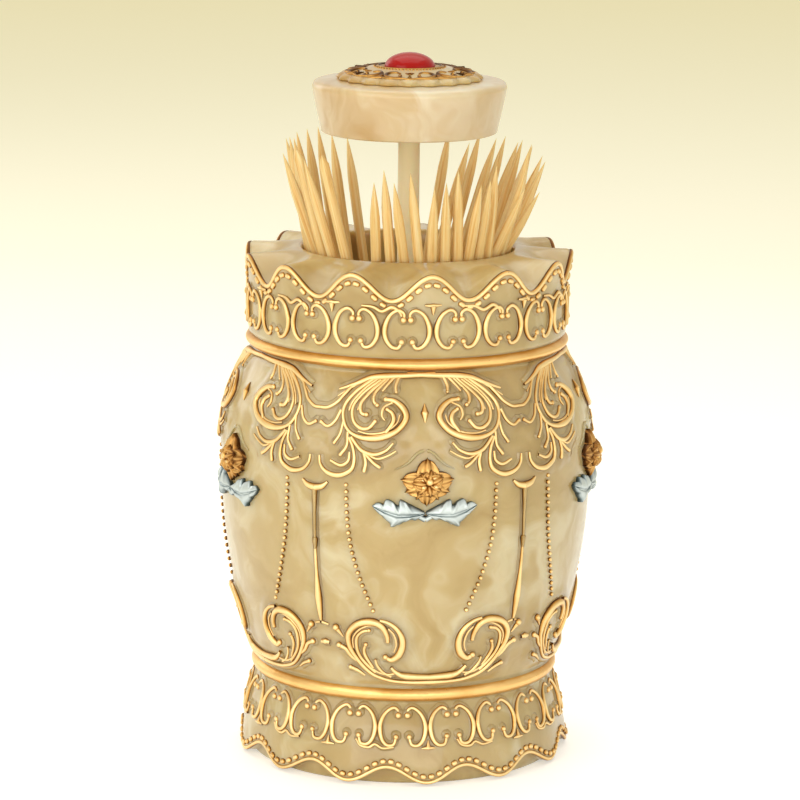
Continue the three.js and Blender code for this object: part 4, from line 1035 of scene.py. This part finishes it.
def rod():
    """A moulded rod with broken edges, a screw hole below and a collar on the tray's floor."""
    low, high = span("lift_rod")
    floor = span("tray")[1]
    top = low + SCREW_HOLE_DEPTH
    under, over = floor + ROD_COLLAR_LOW, floor + ROD_COLLAR_HIGH
    profile = [(0, top), (SCREW_HOLE_RADIUS, top), (SCREW_HOLE_RADIUS, low),
               (ROD_RADIUS - ROD_EDGE, low), (ROD_RADIUS, low + ROD_EDGE), (ROD_RADIUS, under),
               (ROD_COLLAR_RADIUS - ROD_COLLAR_EDGE, under),
               (ROD_COLLAR_RADIUS, under + ROD_COLLAR_EDGE),
               (ROD_COLLAR_RADIUS, over - ROD_COLLAR_EDGE),
               (ROD_COLLAR_RADIUS - ROD_COLLAR_EDGE, over), (ROD_RADIUS, over),
               (ROD_RADIUS, high - ROD_EDGE), (ROD_RADIUS - ROD_EDGE, high), (0, high)]
    fit(turned("rod_moulding", grid(profile, ROD_COLUMNS), CREAM), "lift", "cream_plastic",
        "lift_rod")


def spring():
    """An open helix of wire, its end turns close together."""
    low, high = SPRING_LOW + SPRING_WIRE, SPRING_HIGH - SPRING_WIRE
    turns = (0, 1, SPRING_TURNS - 1, SPRING_TURNS)
    heights = (low, low + SPRING_END_PITCH, high - SPRING_END_PITCH, high)

    def coil(turn, _, width):
        angle = 2 * math.pi * turn
        return np.array([SPRING_RADIUS * math.sin(angle), -SPRING_RADIUS * math.cos(angle),
                         np.interp(turn, turns, heights)]) * MM

    wire = Lines(0.02)
    wire.add([(0, 0), (SPRING_TURNS, 0)], [SPRING_WIRE, SPRING_WIRE], 0, coil)
    piece = relief("spring_wire", wire, 1, 0, 0, STEEL, WIRE_SIDES,
                   ("pot", "plated_steel", "return_spring"))
    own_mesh(piece)


lid()
rosette()
rosette_trim()
stone()
rod()
spring()


# Medallions: a flower over a pair of leaves, cast on the wall
MEDALLION_ROOT = -0.4
FLOWER_HEIGHT = 63.0
FLOWER_LEAN = 0.35

# Petals: direction in degrees clockwise from the top, length, half width, height of the root
PETALS = [
    (0, 4.9, 1.7, 0.2), (40, 3.5, 1.4, 0.1), (83, 5.3, 1.5, 0.2), (114, 4.9, 1.5, 0.1),
    (148, 4.2, 1.4, 0.2), (182, 4.8, 1.5, 0.1), (214, 4.1, 1.5, 0.2), (246, 4.8, 1.5, 0.1),
    (277, 5.3, 1.5, 0.2), (321, 3.4, 1.4, 0.1),
    (14, 2.9, 1.1, 1.1), (66, 3.2, 1.1, 1.2), (122, 3.1, 1.1, 1.1), (170, 2.9, 1.1, 1.2),
    (222, 3.1, 1.2, 1.1), (274, 3.2, 1.1, 1.2), (328, 2.6, 1.0, 1.1),
]
# A leaf's edges above and below its midrib: share of its length, distance from the midrib
LEAF_UPPER = [(0, 0.3), (0.12, 1.3), (0.26, 2.3), (0.38, 3.0), (0.44, 2.9), (0.475, 1.9),
              (0.52, 2.0), (0.6, 2.5), (0.7, 2.6), (0.76, 2.2), (0.785, 1.3), (0.84, 1.3),
              (0.9, 1.15), (0.95, 0.75), (1, 0.02)]
LEAF_LOWER = [(0, 0.5), (0.1, 1.3), (0.2, 1.0), (0.3, 1.1), (0.42, 1.8), (0.5, 2.4), (0.56, 2.4),
              (0.6, 1.8), (0.66, 1.6), (0.75, 1.2), (0.8, 0.85), (0.9, 0.65), (1, 0.02)]
LEAF_VEINS = (0.3, 0.56, 0.82)
LEAF_LENGTH = 10.3
LEAF_ROOT = (0.1, 56.9)
LEAF_TILT = 7
LEAF_SAG = 1.1
# Buds in a flower's heart: across, up, radius, how proud
BUDS = [(0.2, 0.5, 0.85, 2.4), (1.3, -0.6, 0.7, 2.1), (-0.8, -0.7, 0.7, 2.1),
        (0.1, -1.5, 0.6, 1.9), (-0.9, 0.8, 0.6, 1.9), (1.2, 1.0, 0.6, 1.9)]
# Strokes beside the flower: the lozenge above it, the leaves' stalks and the arch over both
LOZENGE = [([(0, 78.0), (0, 76.2), (0, 74.4)], [0.1, 0.85, 0.1], 0)]
STALKS = [([(0, 55.6), (1.6, 56.3), (3.4, 55.9), (5.3, 54.6)], [0.6, 0.5, 0.36, 0.2], 0)]
ARCH = [([(0.3, 69.2), (1.6, 68.6), (3.6, 66.6), (6.0, 65.4)], [0.34, 0.34, 0.26, 0.12], 0)]


def patch(surface, across, along, flip):
    """A closed relief on the pot: a face from surface(u, v), u from -1 to 1 and v from 0 to 1,
    a back in the wall, and a rim that joins them."""
    count = (across + 1) * (along + 1)
    face, back = [], []
    for j in range(along + 1):
        for i in range(across + 1):
            x, z, rise = surface(i / across * 2 - 1, j / along)
            face.append(on_pot(x, z, rise))
            back.append(on_pot(x, z, MEDALLION_ROOT))
    faces = []
    for j in range(along):
        for i in range(across):
            a = j * (across + 1) + i
            quad = (a, a + 1, a + across + 2, a + across + 1)
            faces += [quad, tuple(count + k for k in reversed(quad))]
    corners = [(i, 0) for i in range(across)] + [(across, j) for j in range(along)]
    corners += [(i, along) for i in range(across, 0, -1)] + [(0, j) for j in range(along, 0, -1)]
    rim = [j * (across + 1) + i for i, j in corners]
    faces += [(b, a, count + a, count + b) for a, b in zip(rim, rim[1:] + rim[:1])]
    if flip:
        faces = [tuple(reversed(quad)) for quad in faces]
    return face + back, faces


def petal(angle, length, width, root):
    """A petal, widest a third of the way out and pointed, with a fold and a rib on each side."""
    angle = math.radians(angle)

    def surface(u, v):
        half = width * 1.25 * math.sin(math.pi * (0.2 + 0.8 * v)) ** 0.5
        reach = 0.3 + (length - 0.3) * v * (1 - 0.07 * abs(u))
        x = reach * math.sin(angle) + half * u * math.cos(angle)
        z = reach * math.cos(angle) - half * u * math.sin(angle)
        arch = 1.5 * math.sin(math.pi * (0.25 + 0.62 * v))
        fold = 0.32 * math.cos(2 * math.pi * u) * (1 - 0.4 * v) - 0.35 * u * u
        return FLOWER_LEAN + x, FLOWER_HEIGHT + z, root + arch + fold
    return patch(surface, 16, 9, False)


def leaf(side):
    """A lobed leaf with a sunk midrib, a vein into each lobe and its edges turned down."""
    tilt = math.radians(LEAF_TILT)
    uppers, lowers = (np.array(spline(edge, 0.03)) for edge in (LEAF_UPPER, LEAF_LOWER))

    def surface(u, v):
        edge = uppers if u > 0 else lowers
        half = float(np.interp(v, edge[:, 0], edge[:, 1]))
        along = LEAF_LENGTH * v + 0.5 * half * abs(u) * (1 - v)
        across = half * u
        x = LEAF_ROOT[0] + along * math.cos(tilt) - across * math.sin(tilt)
        z = LEAF_ROOT[1] + along * math.sin(tilt) + across * math.cos(tilt)
        z -= LEAF_SAG * math.sin(math.pi * v)
        vein = sum(math.exp(-((v - place + 0.08 * (1 - abs(u))) / 0.035) ** 2)
                   for place in LEAF_VEINS)
        rise = 0.5 + 1.0 * math.sin(math.pi * (0.2 + 0.7 * v)) * (1 - 0.75 * abs(u) ** 3)
        return side * x, z, rise + 0.4 * vein * abs(u) - 0.55 * math.exp(-(u / 0.12) ** 2)
    return patch(surface, 20, 60, side > 0)


def medallion(name, parts, material):
    vertices, faces = [], []
    for part_vertices, part_faces in parts:
        start = len(vertices)
        vertices += part_vertices
        faces += [tuple(start + i for i in face) for face in part_faces]
    mesh = bpy.data.meshes.new(name)
    mesh.from_pydata([tuple(v) for v in vertices], [], faces)
    fit(finished(name, mesh, COPIES, {
        "Copies": PANELS, "First": math.radians(MEDALLION_AZIMUTH),
        "Spacing": math.radians(PANEL_SPACING), "Material": material}), "pot", "cast_resin")


def medallion_trim():
    gold, silver, resin = Lines(), Lines(), Lines(BED_STEP)
    for x, z, size, rise in BUDS:
        gold.add([(0, 1), (0, 0)], [0.3, 0.3], size, lambda _, share, width:
                 on_pot(FLOWER_LEAN + x, FLOWER_HEIGHT + z, rise * share))
    motif(gold, LOZENGE, sides=(1,), ground=-0.3)
    motif(silver, STALKS, ground=0.2)
    motif(resin, ARCH, ground=-0.25)
    for name, lines, finish in (("medallion_gold", gold, GOLD), ("leaf_stalks", silver, SILVER),
                                ("medallion_arches", resin, RESIN)):
        relief(name, lines, PANELS, MEDALLION_AZIMUTH, PANEL_SPACING, finish)


medallion("flowers", [petal(*shape) for shape in PETALS], FLOWER_GOLD)
medallion("leaves", [leaf(1), leaf(-1)], SILVER)
medallion_trim()


# Toothpicks, in millimetres, and those that stand with the blunt end up
PICKS = 37
PICK_RADIUS = 1.03
PICK_POINT = 9.5
PICK_BUTT = 1.6
PICK_BEND = 0.12
PICK_SIDES = 14
PICK_RINGS = 26
FIBRES_ROUND = 11.0
FIBRES_ALONG = 2.4
BLUNT_UP = (10, 12)
PICK_SEED = 7


def pick_ends(node):
    """The foot and the tip of a toothpick in the frame."""
    source = frame["nodes"][node]
    points = np.array([source.matrix_world @ v.co for v in source.data.vertices])
    middle = points.mean(0)
    axis = np.linalg.svd(points - middle, full_matrices=False)[2][0]
    axis = axis if axis[2] > 0 else -axis
    run = (points - middle) @ axis
    return middle + axis * run.min(), middle + axis * run.max()


def picks():
    """Each a little out of round and bent, pointed at one end, with fibres drawn along it."""
    rng = np.random.default_rng(PICK_SEED)
    corners = [[(i, j), (i + 1, j), (i + 1, j + 1), (i, j + 1)]
               for j in range(PICK_RINGS - 1) for i in range(PICK_SIDES)]
    corners += [[(i, 0) for i in reversed(range(PICK_SIDES))],
                [(i, PICK_RINGS - 1) for i in range(PICK_SIDES)]]
    faces = [[j * PICK_SIDES + i % PICK_SIDES for i, j in face] for face in corners]
    for number in range(1, PICKS + 1):
        node = f"toothpick_{number:02d}"
        foot, tip = pick_ends(node)
        if number in BLUNT_UP:
            foot, tip = tip, foot
        axis = Vector(tip - foot)
        length = axis.length / MM
        turn = Vector((0, 0, 1)).rotation_difference(axis)
        rim = PICK_RADIUS * (1 + rng.normal(0, 0.02, PICK_SIDES))
        flat = rng.uniform(0, 2 * math.pi)
        bend = rng.uniform(-PICK_BEND, PICK_BEND)
        vertices = []
        for j in range(PICK_RINGS):
            s = j / (PICK_RINGS - 1)
            s = s * s * (3 - 2 * s) * 0.35 + s * 0.65
            along = length * s
            point = max(0.0, (along - (length - PICK_POINT)) / PICK_POINT)
            butt = max(0.0, 1 - along / PICK_BUTT)
            scale = (1 - point ** 1.5 * 0.97) * math.sqrt(max(0.02, 1 - butt ** 2))
            for i in range(PICK_SIDES):
                angle = 2 * math.pi * i / PICK_SIDES
                r = rim[i] * scale * (1 - 0.05 * max(0, math.cos(angle - flat)))
                local = Vector((r * math.cos(angle) + bend * math.sin(math.pi * s),
                                r * math.sin(angle), along)) * MM
                vertices.append(Vector(foot) + turn @ local)
        mesh = bpy.data.meshes.new(f"bamboo_pick_{number:02d}")
        mesh.from_pydata(vertices, [], faces)
        mesh.polygons.foreach_set("use_smooth", [True] * len(faces))
        shift = rng.uniform(0, 60)
        mesh.uv_layers.new(name="grain").data.foreach_set("uv", [
            shift + share for face in corners for i, j in face
            for share in (FIBRES_ROUND * i / PICK_SIDES, FIBRES_ALONG * j / PICK_RINGS)])
        mesh.materials.append(WOOD)
        piece = bpy.data.objects.new(mesh.name, mesh)
        scene.collection.objects.link(piece)
        fit(piece, f"pick_{number:02d}", "pick_wood", node)


picks()

# Finishes of the frame's own pieces
FINISHES = {
    "base_pad": FELT, "guide_housing": HOUSING, "cam_plate": ACETAL, "tray": CREAM,
    "latch_arm": STEEL, "latch_pin": STEEL, "rod_washer": STEEL,
}
for name, node in frame["nodes"].items():
    finish = FINISHES.get(name, STEEL if "screw" in name else None)
    if finish:
        node.data.materials.clear()
        node.data.materials.append(finish)


# Stage
def backdrop_rays(tree):
    """1 for the camera's rays and for those off metal or through clear resin, otherwise 0."""
    rays = add(tree, "ShaderNodeLightPath").outputs
    seen = add(tree, "ShaderNodeMath", (rays["Is Camera Ray"], rays["Is Glossy Ray"]),
               operation="MAXIMUM")
    return add(tree, "ShaderNodeMath", (seen, rays["Is Transmission Ray"]), operation="MAXIMUM")


def floor():
    """A white floor that turns cream in the distance and adds no light of its own to the pot."""
    material, tree, shader = new_material("pale_floor", Roughness=0.6)
    place = add(tree, "ShaderNodeTexCoord").outputs["Object"]
    away = add(tree, "ShaderNodeVectorMath", (place,), operation="LENGTH").outputs["Value"]
    share = add(tree, "ShaderNodeMapRange",
                {"Value": away, "From Min": FLOOR_NEAR, "From Max": FLOOR_FAR})
    feed(tree, shader, {
        "Base Color": add(tree, "ShaderNodeValToRGB", (share,), [(0, "#F8F7F3"), (1, "#E9E2C4")]),
        "Emission Color": add(tree, "ShaderNodeValToRGB", (share,), [
            (0, "#B4B4B0"), (0.35, "#9A967A"), (1, "#9C946A")]),
        "Emission Strength": backdrop_rays(tree)})
    mesh = bpy.data.meshes.new("floor")
    mesh.from_pydata([(x * FLOOR_REACH, y * FLOOR_REACH, 0)
                      for x, y in ((-1, -1), (1, -1), (1, 1), (-1, 1))], [], [(0, 1, 2, 3)])
    mesh.materials.append(material)
    plane = bpy.data.objects.new("floor", mesh)
    plane.location.z = -0.1 * MM
    scene.collection.objects.link(plane)


def area_light(name, place_at, aim, size, power, colour):
    lamp = bpy.data.lights.new(name, "AREA")
    lamp.shape = "RECTANGLE"
    lamp.size, lamp.size_y = size
    lamp.energy = power
    lamp.color = colour
    light = bpy.data.objects.new(name, lamp)
    light.location = place_at
    light.rotation_euler = (Vector(aim) - Vector(place_at)).to_track_quat("-Z", "Y").to_euler()
    scene.collection.objects.link(light)


def world():
    """Soft light from all round, which is seen as a paler backdrop."""
    scene.world = bpy.data.worlds.new("studio")
    scene.world.use_nodes = True
    tree = scene.world.node_tree
    glow = add(tree, "ShaderNodeMath", (backdrop_rays(tree), BACKDROP_GLOW), operation="MULTIPLY")
    strength = add(tree, "ShaderNodeMath", (glow, WORLD_LIGHT), operation="ADD")
    feed(tree, tree.nodes["Background"], {"Color": linear("#FBF6E8"), "Strength": strength})


def camera():
    lens = bpy.data.cameras.new("camera")
    lens.sensor_width = 36
    lens.lens = FOCAL_PIXELS / PICTURE_PIXELS * lens.sensor_width
    lens.clip_end = 50
    view = bpy.data.objects.new("camera", lens)
    view.matrix_world = (
        Matrix.Translation((0, -CAMERA_DISTANCE, CAMERA_HEIGHT))
        @ Matrix.Rotation(math.radians(CAMERA_PAN), 4, "Z")
        @ Matrix.Rotation(math.radians(90 - CAMERA_PITCH), 4, "X")
        @ Matrix.Rotation(math.radians(CAMERA_ROLL), 4, "Z"))
    scene.collection.objects.link(view)
    scene.camera = view


camera()
floor()
world()
# Softboxes: place, aim, width and height, all in metres, power in watts, colour
LIGHTS = [
    ("key", (-0.75, -0.8, 0.55), (0, 0, 0.07), (0.9, 0.8), 4.0, (1, 0.98, 0.94)),
    ("fill", (0.85, -0.6, 0.35), (0, 0, 0.07), (0.7, 0.9), 1.1, (1, 1, 1)),
    ("front", (0, -0.9, 0.12), (0, 0, 0.05), (1.2, 0.3), 2.5, (1, 1, 1)),
    ("top", (0, 0.2, 0.9), (0, 0, 0.08), (0.9, 0.9), 3.2, (1, 1, 1)),
    ("rim", (-0.6, 0.6, 0.35), (0, 0, 0.07), (0.4, 0.6), 0.8, (1, 1, 1)),
]
for light in LIGHTS:
    area_light(*light)
scene.view_settings.view_transform = "Standard"
